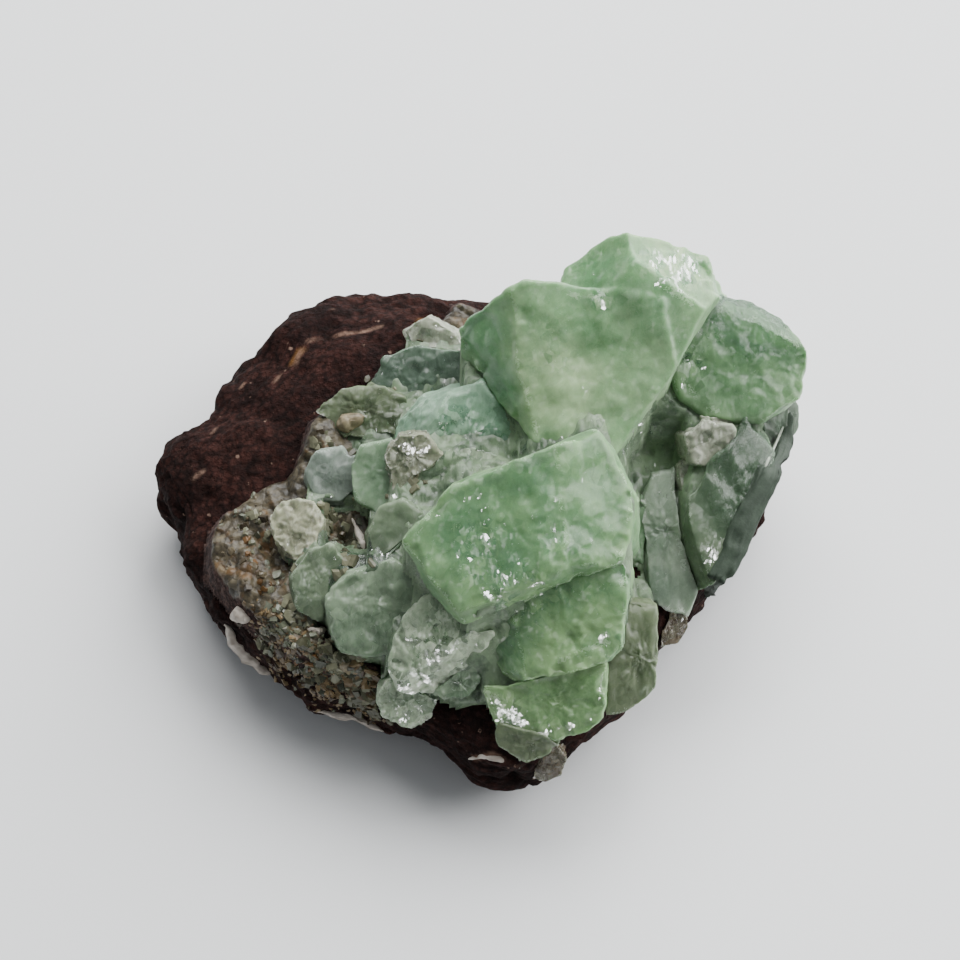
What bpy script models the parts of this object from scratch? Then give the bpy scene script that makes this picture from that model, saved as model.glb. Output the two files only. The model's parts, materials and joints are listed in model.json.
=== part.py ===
"""A green apophyllite specimen: blocky crystals and a fine druse on a dark basalt rock.

Each crystal is described as a mineralogist would: where the middle of its largest face sits, which way
that face points (its pole), and its other faces by their direction round the pole, how far out they meet
the largest face, and how much they lean. The rock is one rounded slab with a flat resting face, and the
druse is a lumpy sheet that lies on it. Where two pieces meet, the later one is cut back to a narrow gap.
"""

import math

import bmesh
import bpy
from mathutils import Matrix, Vector, noise

MM = 0.001
GAP = 0.3 * MM
MERGE = 0.02 * MM
FLOOR_CLEARANCE = 1.5 * MM
BLANK_SIZE = 90.0 * MM

# Rock: plan outline at its widest level in mm, and its heights.
ROCK_OUTLINE = (
    (-33.9, 3.4), (-33.0, 6.6), (-28.8, 9.4), (-27.6, 12.8), (-25.2, 16.6), (-22.6, 20.6), (-18.6, 23.8),
    (-14.0, 24.8), (-8.2, 25.8), (-2.0, 24.8), (6.0, 23.0), (14.0, 23.4), (21.0, 21.5), (27.0, 16.0),
    (30.6, 9.0), (29.4, 2.0), (26.4, -4.0), (22.8, -8.6), (19.2, -13.0), (17.2, -17.0), (13.0, -21.8),
    (8.2, -25.4), (4.6, -28.6), (0.0, -28.6), (-3.8, -25.0), (-10.4, -22.6), (-18.4, -19.6),
    (-24.0, -14.6), (-28.2, -9.6), (-30.6, -4.6), (-30.8, -1.4),
)
ROCK_WAIST = 7.0 * MM
ROCK_TOP = 7.2 * MM
ROCK_BELOW = 8.2 * MM
ROCK_SQUARENESS = 0.62
ROCK_LUMPS = ((9.0 * MM, 0.8 * MM), (4.2 * MM, 0.45 * MM))
ROCK_DETAIL = 5
ROCK_KEEP = 0.46

# Druse: the sheet of fine crystals on the left of the rock, by its plan outline in mm and its thickness.
DRUSE_OUTLINE = (
    (-3.2, 23.0), (-5.0, 18.6), (-7.8, 17.0), (-9.5, 12.6), (-13.8, 11.0), (-17.4, 7.8), (-19.2, 2.0),
    (-24.8, -1.6), (-27.6, -4.0), (-27.8, -9.0), (-24.5, -13.5), (-19.0, -18.2), (-13.0, -20.4), (-5.0, -22.0),
    (0.5, -23.0), (1.0, -15.0), (3.0, 0.0), (4.0, 14.0), (0.5, 22.0),
)
DRUSE_THICKNESS = 1.6 * MM
DRUSE_LUMPS = ((5.0 * MM, 1.6 * MM), (2.4 * MM, 0.8 * MM))
DRUSE_KEEP = 0.5
DRUSE_PATCHES = 2
DRUSE_FOOT = 8.5 * MM

SIDE_LEAN = 4.0

# name: one or more crystals grown together, each with the middle of its largest face in mm, its pole as
# compass and height in degrees, its depth in mm, and its other faces as (direction round the pole, reach
# to the largest face's edge in mm[, lean in degrees]).
ROOTED_CRYSTALS = {
    "crystal_centre": [(
        (3.8, -11.2, 27.0), (-95, 68), 13.0,
        ((-137, 9.6), (-62, 6.4), (-20, 9.8), (0, 10.4), (34, 10.8), (118, 6.0), (144, 7.3), (10, 4.0, 68),
         (-62, 5.4, 30)),
    )],
    "crystal_upper_pair": [
        (
            (9.7, 5.7, 27.0), (-100, 58), 14.0,
            ((-169, 11.6), (-135, 8.4), (-92, 8.0), (-22, 7.2), (20, 8.6), (88, 7.8, -24), (120, 9.8, -18),
             (150, 12.0), (-164, 5.6, 50)),
        ),
        (
            (16.5, 11.5, 30.5), (-100, 58), 17.0,
            ((-155, 9.6), (-46, 7.8), (-24, 5.0), (20, 6.1), (57, 7.7, -12), (76, 7.8, -22), (106, 7.2, -22),
             (133, 7.2, -12), (180, 8.1), (66, 1.9, 52), (152, 3.4, 44)),
        ),
    ],
    "crystal_right": [(
        (25.6, 8.0, 24.0), (-75, 64), 13.0,
        ((-166, 6.9), (-138, 6.3), (-105, 5.4), (-68, 5.8), (-24, 6.2), (20, 6.6), (45, 6.9, -10),
         (70, 7.6, -22), (90, 8.2, -24), (125, 6.6, -18), (161, 6.9), (56, 4.5, 46)),
    )],
    "crystal_lower": [(
        (7.6, -18.0, 20.5), (-92, 60), 10.0,
        ((-178, 6.8), (-145, 7.3), (-122, 7.5), (-75, 5.0), (-51, 5.7), (-6, 6.1), (23, 8.0), (115, 4.3),
         (147, 5.3), (-170, 4.2, 55)),
    )],
    "crystal_bottom": [(
        (6.2, -24.1, 15.5), (-92, 50), 8.0,
        ((-178, 5.9), (-158, 5.2), (-110, 3.6), (-68, 4.3), (-42, 5.2), (-2, 5.7), (64, 6.0), (88, 5.6),
         (142, 7.1)),
    )],
    "crystal_left_pale": [(
        (-4.3, -19.9, 19.0), (-100, 60), 10.0,
        ((-134, 5.3), (-95, 5.0), (-52, 3.6), (-32, 3.6), (26, 5.4), (55, 5.2), (121, 4.5), (155, 3.6),
         (174, 4.0), (-52, 1.2, 50)),
    )],
    "crystal_left_grey": [(
        (-9.6, -15.7, 18.0), (-95, 64), 9.0,
        ((-172, 5.1), (-144, 5.3), (-93, 4.3), (-65, 4.0), (-24, 4.8), (39, 5.5), (68, 4.9), (113, 4.3),
         (149, 4.8)),
    )],
    "crystal_left_dark": [(
        (-5.6, -11.8, 18.8), (-95, 62), 8.0,
        ((-176, 3.2), (-128, 4.0), (-60, 4.0), (0, 3.6), (62, 3.6), (135, 3.4)),
    )],
    "crystal_teal": [(
        (-1.5, 2.4, 21.0), (-85, 64), 10.0,
        ((-158, 6.8), (-108, 5.6), (-72, 4.7), (9, 6.8), (79, 5.1), (102, 4.3), (125, 4.9), (164, 6.5),
         (150, 3.0, 45)),
    )],
    "crystal_pale_ledge": [(
        (-1.6, -3.2, 20.2), (-95, 56), 7.0,
        ((-170, 4.6), (-110, 3.6), (-55, 4.0), (5, 5.2), (70, 3.2), (120, 3.2)),
    )],
    "crystal_teal_upper": [(
        (-5.5, 10.2, 18.0), (-100, 64), 8.0,
        ((-134, 5.0), (-75, 3.2), (-22, 5.8), (50, 4.7), (93, 3.0), (120, 3.2), (162, 4.5)),
    )],
    "crystal_olive_foot": [(
        (4.7, -27.0, 13.0), (-92, 46), 4.5,
        ((-170, 3.0), (-120, 2.2), (-60, 2.2), (-5, 3.1), (50, 2.4), (95, 2.2), (140, 2.8)),
    )],
    "crystal_smoky_foot": [(
        (6.4, -28.0, 8.6), (-80, 32), 3.5,
        ((-173, 1.8), (-120, 1.9), (-70, 1.8), (-20, 1.8), (30, 2.0), (80, 2.0), (130, 2.0)),
    )],
    "crystal_pale_chip": [(
        (22.4, 0.7, 21.0), (-80, 60), 5.0,
        ((-175, 2.1), (-114, 2.1), (-66, 1.6), (-36, 1.9), (15, 3.0), (73, 2.2), (118, 2.2)),
    )],
    "crystal_clear_chip": [(
        (20.9, -1.4, 18.5), (-80, 60), 4.0,
        ((-140, 1.8), (-61, 1.7), (-25, 1.5), (45, 1.8), (134, 1.7), (177, 1.3)),
    )],
    "crystal_right_long": [(
        (25.0, -3.2, 19.0), (-60, 62), 10.0,
        ((-67, 4.4), (-46, 2.8), (85, 6.3), (117, 4.4), (129, 4.2), (155, 4.8), (165, 5.8), (175, 5.6),
         (15, 5.6, 20)),
    )],
    "crystal_column_pair": [
        (
            (18.8, -6.7, 15.0), (-80, 64), 8.0,
            ((-149, 5.3), (-104, 7.2), (-30, 3.9), (-10, 2.6), (57, 6.4), (92, 6.7), (144, 4.5), (174, 2.5)),
        ),
        (
            (22.8, -6.3, 12.8), (-60, 60), 7.0,
            ((-164, 4.6), (-63, 2.5), (-41, 1.9), (-2, 2.9), (52, 5.0), (148, 3.2)),
        ),
    ],
    "crystal_valley_upper": [(
        (18.1, 4.6, 16.0), (-90, 60), 6.0,
        ((-176, 3.4), (-76, 3.9), (-50, 3.5), (0, 4.4), (27, 4.6), (134, 3.5)),
    )],
    "crystal_valley_lower": [(
        (15.7, -7.4, 14.0), (-90, 60), 6.0,
        ((-113, 4.8), (-73, 4.6), (-3, 3.0), (70, 5.0), (133, 4.5), (171, 2.6)),
    )],
    "crystal_lower_right": [(
        (14.8, -18.8, 13.5), (-70, 56), 8.0,
        ((-102, 5.2), (-82, 4.4), (-66, 3.9), (-17, 2.5), (60, 5.4), (137, 2.8), (149, 2.3), (168, 3.0)),
    )],
    "crystal_brown_foot": [(
        (19.0, -14.2, 10.4), (-60, 52), 4.0,
        ((-160, 1.9), (-105, 1.6), (-60, 1.5), (-15, 1.8), (60, 2.3), (110, 2.3), (162, 1.9)),
    )],
    "crystal_far_right": [(
        (29.5, 3.9, 13.0), (-40, 50), 7.0,
        ((-94, 5.2), (-77, 1.3), (-42, 3.6), (0, 6.1), (105, 3.0), (122, 3.5)),
    )],
}

# The small crystals that sit on the druse, in the same terms.
PERCHED_CRYSTALS = {
    "crystal_round_green": [(
        (-7.9, -8.7, 20.0), (-95, 66), 8.0,
        ((-166, 2.9), (-123, 3.2), (-68, 3.0), (-23, 2.9), (24, 3.0), (68, 3.2), (111, 3.2), (158, 2.9)),
    )],
    "crystal_round_upper": [(
        (-9.8, -1.7, 19.0), (-100, 66), 8.0,
        ((-159, 2.7), (-115, 3.2), (-65, 3.4), (-6, 2.9), (25, 2.7), (56, 3.1), (108, 3.4), (163, 3.2)),
    )],
    "crystal_tan": [(
        (-6.4, -1.4, 20.6), (-90, 60), 8.0,
        ((-167, 2.6), (-106, 3.0), (-50, 2.8), (-5, 2.9), (45, 2.8), (96, 3.0), (140, 3.0)),
    )],
    "crystal_blue": [(
        (-14.6, -0.8, 17.5), (-100, 68), 6.0,
        ((-149, 2.4), (-87, 2.6), (-36, 2.5), (10, 2.3), (54, 2.5), (113, 2.6), (159, 2.5)),
    )],
    "crystal_cream": [(
        (-18.0, -6.8, 17.5), (-100, 70), 5.0,
        ((-163, 2.3), (-137, 2.3), (-106, 2.7), (-32, 2.5), (-1, 2.3), (43, 2.7), (93, 2.9), (133, 2.8)),
    )],
    "crystal_left_prism": [(
        (-15.6, -12.4, 16.5), (-100, 64), 7.0,
        ((-162, 2.6), (-107, 3.2), (-60, 3.0), (0, 2.6), (52, 3.5), (115, 3.6), (160, 2.8)),
    )],
    "crystal_olive": [(
        (-11.6, 7.0, 17.0), (-110, 66), 6.0,
        ((-143, 4.4), (-84, 3.0), (-57, 2.8), (0, 4.2), (40, 4.1), (86, 2.6), (115, 2.2), (146, 2.9)),
    )],
    "crystal_white_chip": [(
        (-4.6, 14.2, 18.5), (-100, 60), 5.0,
        ((-146, 2.2), (-90, 1.9), (-40, 2.2), (35, 2.3), (71, 1.8), (130, 2.4)),
    )],
    "crystal_toe": [(
        (-7.0, -23.4, 13.5), (-95, 48), 5.0,
        ((-165, 2.5), (-111, 2.3), (-55, 2.4), (-11, 2.6), (42, 2.8), (89, 2.5), (140, 2.5)),
    )],
    "crystal_green_tooth": [(
        (-1.7, -22.5, 15.3), (-88, 52), 5.0,
        ((-150, 2.4), (-90, 2.2), (-35, 2.4), (30, 2.6), (90, 2.6), (150, 2.4)),
    )],
}

CRYSTAL_GREEN = (0.42, 0.60, 0.42)
DRUSE_OLIVE = (0.20, 0.18, 0.12)
ROCK_MAROON = (0.075, 0.04, 0.035)


def clear_scene():
    """Removes the start-up objects."""
    for obj in list(bpy.data.objects):
        bpy.data.objects.remove(obj, do_unlink=True)


def new_collection(name):
    collection = bpy.data.collections.new(name)
    bpy.context.scene.collection.children.link(collection)
    return collection


def material(name, colour, roughness):
    made = bpy.data.materials.new(name)
    made.use_nodes = True
    shader = made.node_tree.nodes["Principled BSDF"]
    shader.inputs["Base Color"].default_value = (*colour, 1.0)
    shader.inputs["Roughness"].default_value = roughness
    return made


def new_object(name, bm, collection, surface=None):
    """An object that takes over the bmesh."""
    mesh = bpy.data.meshes.new(name)
    bm.to_mesh(mesh)
    bm.free()
    obj = bpy.data.objects.new(name, mesh)
    collection.objects.link(obj)
    if surface is not None:
        mesh.materials.append(surface)
    return obj


def new_cutter(name, bm, collection):
    """An object that only cuts others."""
    obj = new_object(name, bm, collection)
    obj.hide_render = True
    obj.display_type = "WIRE"
    return obj


def outline_reach(outline, angle):
    """Distance from the middle to a closed outline at an angle, smooth between the outline's points."""
    polar = sorted((math.atan2(y, x), math.hypot(x, y)) for x, y in outline)
    after = next((i for i, (at, _) in enumerate(polar) if at > angle), 0)
    points = [polar[(after + step) % len(polar)] for step in (-2, -1, 0, 1)]
    # Each angle is brought within half a turn of the one asked for.
    turns = [angle + math.remainder(at - angle, math.tau) for at, _ in points]
    reach = [distance for _, distance in points]
    span = turns[2] - turns[1]
    t = (angle - turns[1]) / span
    slope_in = (reach[2] - reach[0]) / (turns[2] - turns[0]) * span
    slope_out = (reach[3] - reach[1]) / (turns[3] - turns[1]) * span
    return (
        (2 * t**3 - 3 * t**2 + 1) * reach[1]
        + (t**3 - 2 * t**2 + t) * slope_in
        + (3 * t**2 - 2 * t**3) * reach[2]
        + (t**3 - t**2) * slope_out
    )


def lumpiness(point, lumps):
    return sum(height * noise.noise(point / spacing) for spacing, height in lumps)


def push_out(bm, distance_at):
    """Moves every vertex along its normal by a distance that depends on where it is."""
    bm.normal_update()
    moves = [distance_at(vert.co) * vert.normal for vert in bm.verts]
    for vert, move in zip(bm.verts, moves):
        vert.co += move


def cut_with_plane(bm, point, normal):
    """Takes off what lies beyond a plane and closes the cut."""
    geometry = bm.verts[:] + bm.edges[:] + bm.faces[:]
    bmesh.ops.bisect_plane(bm, geom=geometry, plane_co=point, plane_no=normal, clear_outer=True, dist=1e-9)
    bmesh.ops.holes_fill(bm, edges=[edge for edge in bm.edges if edge.is_boundary], sides=0)


def slab_bmesh():
    """The rock before it is thinned and cut: a sphere squared off to the slab's outline and heights."""
    bm = bmesh.new()
    bmesh.ops.create_icosphere(bm, subdivisions=ROCK_DETAIL, radius=1.0)
    for vert in bm.verts:
        across = math.hypot(vert.co.x, vert.co.y)
        angle = math.atan2(vert.co.y, vert.co.x)
        out = outline_reach(ROCK_OUTLINE, angle) * MM * across**ROCK_SQUARENESS
        rise = abs(vert.co.z) ** ROCK_SQUARENESS * (ROCK_TOP if vert.co.z > 0 else -ROCK_BELOW)
        vert.co = (out * math.cos(angle), out * math.sin(angle), ROCK_WAIST + rise)
    push_out(bm, lambda co: lumpiness(co, ROCK_LUMPS))
    return bm


def finished(obj):
    """Gives the object the mesh that its modifiers make, and drops them."""
    bpy.context.view_layer.update()
    graph = bpy.context.evaluated_depsgraph_get()
    mesh = bpy.data.meshes.new_from_object(obj.evaluated_get(graph), depsgraph=graph)
    obj.modifiers.clear()
    obj.data = mesh
    return obj


def thinned(obj, keep):
    """Keeps a share of the object's facets."""
    thin = obj.modifiers.new("fewer_facets", "DECIMATE")
    thin.ratio = keep
    return finished(obj)


def separate_bodies(bm):
    """The vertices of each connected body."""
    left, bodies = set(bm.verts), []
    while left:
        body, front = set(), [left.pop()]
        while front:
            vert = front.pop()
            body.add(vert)
            near = {edge.other_vert(vert) for edge in vert.link_edges} & left
            left -= near
            front += near
        bodies.append(body)
    return bodies


def box_volume(verts):
    sides = [max(vert.co[k] for vert in verts) - min(vert.co[k] for vert in verts) for k in range(3)]
    return math.prod(sides)


def keep_body(obj, rank=0):
    """Cleans the object's seams and keeps one of the bodies that cutting may leave, the largest by default."""
    bm = bmesh.new()
    bm.from_mesh(obj.data)
    bmesh.ops.remove_doubles(bm, verts=bm.verts[:], dist=MERGE)
    bodies = sorted(separate_bodies(bm), key=box_volume, reverse=True)
    for body in bodies[:rank] + bodies[rank + 1:]:
        bmesh.ops.delete(bm, geom=list(body), context="VERTS")
    bmesh.ops.dissolve_degenerate(bm, dist=MERGE, edges=bm.edges[:])
    bm.to_mesh(obj.data)
    bm.free()
    return obj


def boolean(obj, other, operation):
    step = obj.modifiers.new(other.name, "BOOLEAN")
    step.operation = operation
    step.solver = "EXACT"
    step.object = other


def boxes_meet(a, b):
    """Whether the boxes round two objects overlap."""
    ranges = []
    for obj in (a, b):
        corners = [obj.matrix_world @ Vector(corner) for corner in obj.bound_box]
        ranges.append([(min(c[k] for c in corners), max(c[k] for c in corners)) for k in range(3)])
    return all(low_a < high_b and low_b < high_a for (low_a, high_a), (low_b, high_b) in zip(*ranges))


def cut_by(obj, cutters):
    """Takes every cutter that reaches the object out of it."""
    bpy.context.view_layer.update()
    for cutter in cutters:
        if boxes_meet(obj, cutter):
            boolean(obj, cutter, "DIFFERENCE")
    return finished(obj)


def make_rock(collection, surface):
    """The basalt rock, cut flat underneath to rest on."""
    rock = thinned(new_object("basalt_rock", slab_bmesh(), collection, surface), ROCK_KEEP)
    bm = bmesh.new()
    bm.from_mesh(rock.data)
    cut_with_plane(bm, (0, 0, 0), (0, 0, -1))
    bm.to_mesh(rock.data)
    bm.free()
    return rock


def grown_cutter(obj, collection):
    """A piece a gap larger, which what lies on it is cut back to."""
    bm = bmesh.new()
    bm.from_mesh(obj.data)
    push_out(bm, lambda co: GAP)
    return new_cutter(obj.name + "_and_gap", bm, collection)


def floor_cutter(collection):
    """A slab that keeps everything but the rock clear of the surface that the rock rests on."""
    bm = bmesh.new()
    bmesh.ops.create_cube(bm, size=BLANK_SIZE)
    slab = new_cutter("below_floor", bm, collection)
    slab.location.z = FLOOR_CLEARANCE - BLANK_SIZE / 2
    return slab


def crystal_place(middle, pole):
    """The matrix that puts a crystal's own axes in place: +Z along its pole and +X level."""
    compass, height = (math.radians(angle) for angle in pole)
    z_axis = Vector((math.cos(height) * math.cos(compass), math.cos(height) * math.sin(compass), math.sin(height)))
    x_axis = Vector((0, 0, 1)).cross(z_axis).normalized()
    turn = Matrix((x_axis, z_axis.cross(x_axis), z_axis)).transposed().to_4x4()
    return Matrix.Translation(Vector(middle) * MM) @ turn


def crystal_bmesh(middle, pole, depth, faces, grow=0.0):
    """A block cut by the crystal's faces, with each face moved out by grow."""
    bm = bmesh.new()
    bmesh.ops.create_cube(bm, size=BLANK_SIZE)
    cut_with_plane(bm, (0, 0, grow), (0, 0, 1))
    cut_with_plane(bm, (0, 0, -depth * MM - grow), (0, 0, -1))
    for direction, reach, *given in faces:
        turn = math.radians(direction)
        lean = math.radians(given[0] if given else SIDE_LEAN)
        outward = Vector((math.cos(turn), math.sin(turn), 0))
        normal = outward * math.cos(lean) + Vector((0, 0, math.sin(lean)))
        cut_with_plane(bm, outward * reach * MM + normal * grow, normal)
    bmesh.ops.transform(bm, matrix=crystal_place(middle, pole), verts=bm.verts[:])
    return bm


def make_crystal(name, members, collection, cutters, surface, before):
    """A crystal, or several joined in one, cut back from what comes before it. Its own cutters are returned."""
    crystal, *others = [new_object(name, crystal_bmesh(*member), collection, surface) for member in members]
    for other in others:
        boolean(crystal, other, "UNION")
    finished(crystal)
    for other in others:
        bpy.data.objects.remove(other, do_unlink=True)
    keep_body(cut_by(crystal, before))
    return [
        new_cutter(name + "_and_gap", crystal_bmesh(*member, grow=GAP), cutters) for member in members
    ]


def druse_region(collection):
    """A prism over the plan area that the druse covers, from its lowest edge upwards."""
    bm = bmesh.new()
    verts = [bm.verts.new((x * MM, y * MM, DRUSE_FOOT)) for x, y in DRUSE_OUTLINE]
    made = bmesh.ops.extrude_face_region(bm, geom=[bm.faces.new(verts)])
    top = [part for part in made["geom"] if isinstance(part, bmesh.types.BMVert)]
    bmesh.ops.translate(bm, vec=(0, 0, BLANK_SIZE / 2), verts=top)
    bmesh.ops.recalc_face_normals(bm, faces=bm.faces[:])
    return new_cutter("druse_region", bm, collection)


def make_druse_skin(collection, surface):
    """The rock's shape again, swollen by the druse's lumpy thickness."""
    bm = slab_bmesh()
    push_out(bm, lambda co: DRUSE_THICKNESS + lumpiness(co, DRUSE_LUMPS))
    return thinned(new_object("druse_crust", bm, collection, surface), DRUSE_KEEP)


def make_druse(druse, cutters, before):
    """The druse: its skin within its region, cut back from the rock and the crystals that stand on that.

    The crystals divide it into a large crust and a few patches, each a piece of its own.
    """
    boolean(druse, druse_region(cutters), "INTERSECT")
    cut_by(finished(druse), before)
    for rank in range(1, 1 + DRUSE_PATCHES):
        patch = druse.copy()
        patch.data = druse.data.copy()
        patch.name = f"druse_patch_{rank}"
        druse.users_collection[0].objects.link(patch)
        keep_body(patch, rank)
    keep_body(druse)


def centre_on_origin(parts):
    """Hangs the whole specimen from an empty that brings the middle of its underside to the origin."""
    points = [vert.co for part in parts for vert in part.data.vertices]
    middle = [(min(p[k] for p in points) + max(p[k] for p in points)) / 2 for k in (0, 1)]
    holder = bpy.data.objects.new("specimen", None)
    parts[0].users_collection[0].objects.link(holder)
    holder.location = (-middle[0], -middle[1], 0)
    for part in parts:
        part.parent = holder


def main():
    clear_scene()
    specimen = new_collection("apophyllite_specimen")
    cutters = new_collection("cutters")
    green = material("apophyllite", CRYSTAL_GREEN, 0.25)
    rock = make_rock(specimen, material("basalt", ROCK_MAROON, 0.9))
    before = [grown_cutter(rock, cutters), floor_cutter(cutters)]
    for name, members in ROOTED_CRYSTALS.items():
        before += make_crystal(name, members, specimen, cutters, green, before)
    druse = make_druse_skin(specimen, material("druse", DRUSE_OLIVE, 0.6))
    skin_and_gap = grown_cutter(druse, cutters)
    make_druse(druse, cutters, before)
    before.append(skin_and_gap)
    for name, members in PERCHED_CRYSTALS.items():
        before += make_crystal(name, members, specimen, cutters, green, before)
    centre_on_origin(list(specimen.objects))


main()
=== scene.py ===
"""Finished look of a green apophyllite specimen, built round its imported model.

Every crystal is a closed surface over the six faces of a cube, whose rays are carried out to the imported
solid and then rounded, chipped and roughened, with a cloudy heart sealed inside the larger ones. The rock
is made in the same way. The druse and the fine crystal between the crystals are height maps closed into
sheets, the calcite, the chips and the right rim are drawn out along routes, and the smallest crystals are
arrays of blocks. Lengths are in metres, except in the tables, whose lengths are in millimetres.
"""

import json
import math

import bpy
import numpy as np
from bpy.props import FloatProperty, FloatVectorProperty, IntProperty, PointerProperty
from mathutils import Matrix, Vector
from mathutils.bvhtree import BVHTree

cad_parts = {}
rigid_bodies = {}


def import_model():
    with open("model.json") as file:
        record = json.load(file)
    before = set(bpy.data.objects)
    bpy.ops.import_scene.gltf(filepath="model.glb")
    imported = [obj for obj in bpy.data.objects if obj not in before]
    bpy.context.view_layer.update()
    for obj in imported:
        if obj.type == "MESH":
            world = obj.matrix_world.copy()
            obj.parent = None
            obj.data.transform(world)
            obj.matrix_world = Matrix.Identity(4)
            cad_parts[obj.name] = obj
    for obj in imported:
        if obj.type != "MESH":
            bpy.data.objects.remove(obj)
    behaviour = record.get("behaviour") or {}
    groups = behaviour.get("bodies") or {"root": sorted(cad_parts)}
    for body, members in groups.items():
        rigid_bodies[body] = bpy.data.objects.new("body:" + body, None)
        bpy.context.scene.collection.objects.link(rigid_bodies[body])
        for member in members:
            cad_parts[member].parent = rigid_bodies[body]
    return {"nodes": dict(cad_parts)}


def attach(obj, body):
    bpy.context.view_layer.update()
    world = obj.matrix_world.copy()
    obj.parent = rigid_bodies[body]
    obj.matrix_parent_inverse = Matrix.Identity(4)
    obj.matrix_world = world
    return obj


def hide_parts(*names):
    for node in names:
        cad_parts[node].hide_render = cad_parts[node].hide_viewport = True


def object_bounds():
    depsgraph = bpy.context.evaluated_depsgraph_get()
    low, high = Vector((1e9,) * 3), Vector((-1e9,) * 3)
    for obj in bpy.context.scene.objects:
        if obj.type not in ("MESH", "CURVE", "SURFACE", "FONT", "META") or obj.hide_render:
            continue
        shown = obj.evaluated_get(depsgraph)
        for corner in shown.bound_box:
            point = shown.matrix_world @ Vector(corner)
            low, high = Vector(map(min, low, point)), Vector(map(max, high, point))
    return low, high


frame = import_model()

CAD_BOUNDS = [list(corner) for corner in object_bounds()]

bl_info = {
    "name": "Apophyllite Specimen",
    "version": (1, 0, 0),
    "blender": (4, 5, 0),
    "location": "3D Viewport > Sidebar > Specimen",
    "description": "Builds the rock, crystals and druse of an apophyllite specimen on its packed model",
    "category": "Add Mesh",
}

MM = 0.001
BODY = "root"

# The camera looks down on the specimen and a little forward, at a frame of this many columns and rows.
FRAME = 960
CAMERA_HEIGHT = math.radians(62)
CAMERA_DISTANCE = 0.26
CAMERA_AIM = Vector((0.00064, 0.00178, 0.015))
VIEW_WIDTH = 0.096
SENSOR = 36.0
CAMERA_BACK = Vector((0, -math.cos(CAMERA_HEIGHT), math.sin(CAMERA_HEIGHT)))
CAMERA_RIGHT = Vector((1, 0, 0))
CAMERA_UP = CAMERA_BACK.cross(CAMERA_RIGHT)

# Where the window's light comes from.
WINDOW = Vector((0.68, 0.50, 0.56)).normalized()

# The way a plane faces that throws the window's light at the camera.
HALF_WAY = (WINDOW + CAMERA_BACK).normalized()

# How each crystal is finished: its finish, the fineness of its surface (divisions along a cube's edge), the
# depth of its chips in mm, how strongly its surface is broken (0 to 1) and the depth in mm of its clear skin
# over a cloudy heart, or 0 for no heart.
CRYSTAL_LOOKS = {
    "crystal_centre": ("green", 100, 0.4, 0.10, 1.3),
    "crystal_upper_pair": ("light", 104, 0.4, 0.06, 1.5),
    "crystal_right": ("block", 80, 0.3, 0.05, 1.2),
    "crystal_lower": ("green", 72, 0.5, 0.30, 1.0),
    "crystal_bottom": ("vivid", 64, 0.5, 0.25, 1.0),
    "crystal_left_pale": ("pale", 64, 0.6, 0.8, 1.0),
    "crystal_left_grey": ("grey", 56, 0.8, 0.5, 0.9),
    "crystal_left_dark": ("deep", 40, 0.3, 0.2, 0.0),
    "crystal_teal": ("teal", 64, 0.4, 0.5, 1.2),
    "crystal_pale_ledge": ("pale", 48, 0.8, 1.0, 0.0),
    "crystal_teal_upper": ("haze", 56, 0.4, 0.45, 0.9),
    "crystal_round_green": ("moss", 36, 0.1, 0.0, 0.7),
    "crystal_round_upper": ("round", 36, 0.1, 0.0, 0.7),
    "crystal_tan": ("tan", 52, 0.5, 0.9, 0.0),
    "crystal_blue": ("blue", 32, 0.2, 0.2, 0.6),
    "crystal_cream": ("cream", 44, 1.0, 0.9, 0.0),
    "crystal_left_prism": ("moss", 36, 0.5, 0.4, 0.7),
    "crystal_olive": ("olive", 40, 0.6, 0.6, 0.0),
    "crystal_white_chip": ("clear", 48, 0.3, 0.6, 0.0),
    "crystal_toe": ("pale", 36, 0.7, 0.9, 0.0),
    "crystal_green_tooth": ("grey", 32, 0.5, 0.6, 0.0),
    "crystal_olive_foot": ("olive", 36, 0.3, 0.4, 0.0),
    "crystal_smoky_foot": ("smoky", 32, 0.3, 0.4, 0.0),
    "crystal_brown_foot": ("smoky", 32, 0.3, 0.4, 0.0),
    "crystal_pale_chip": ("clear", 48, 0.4, 0.8, 0.0),
    "crystal_clear_chip": ("clear", 32, 0.4, 0.7, 0.0),
    "crystal_right_long": ("slate", 64, 0.2, 0.0, 0.9),
    "crystal_column_pair": ("column", 56, 0.3, 0.15, 0.8),
    "crystal_valley_upper": ("deep", 40, 0.3, 0.4, 0.0),
    "crystal_valley_lower": ("deep", 36, 0.3, 0.4, 0.0),
    "crystal_lower_right": ("olive", 48, 0.4, 0.2, 0.8),
    "crystal_far_right": ("shade", 48, 0.3, 0.2, 0.0),
}

# Crystals whose edges are worn soft, with how many times more than the others they are relaxed.
WORN_CRYSTALS = {
    "crystal_centre": 7,
    "crystal_right": 2,
    "crystal_lower": 5,
    "crystal_upper_pair": 3,
    "crystal_left_pale": 2,
}

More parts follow.
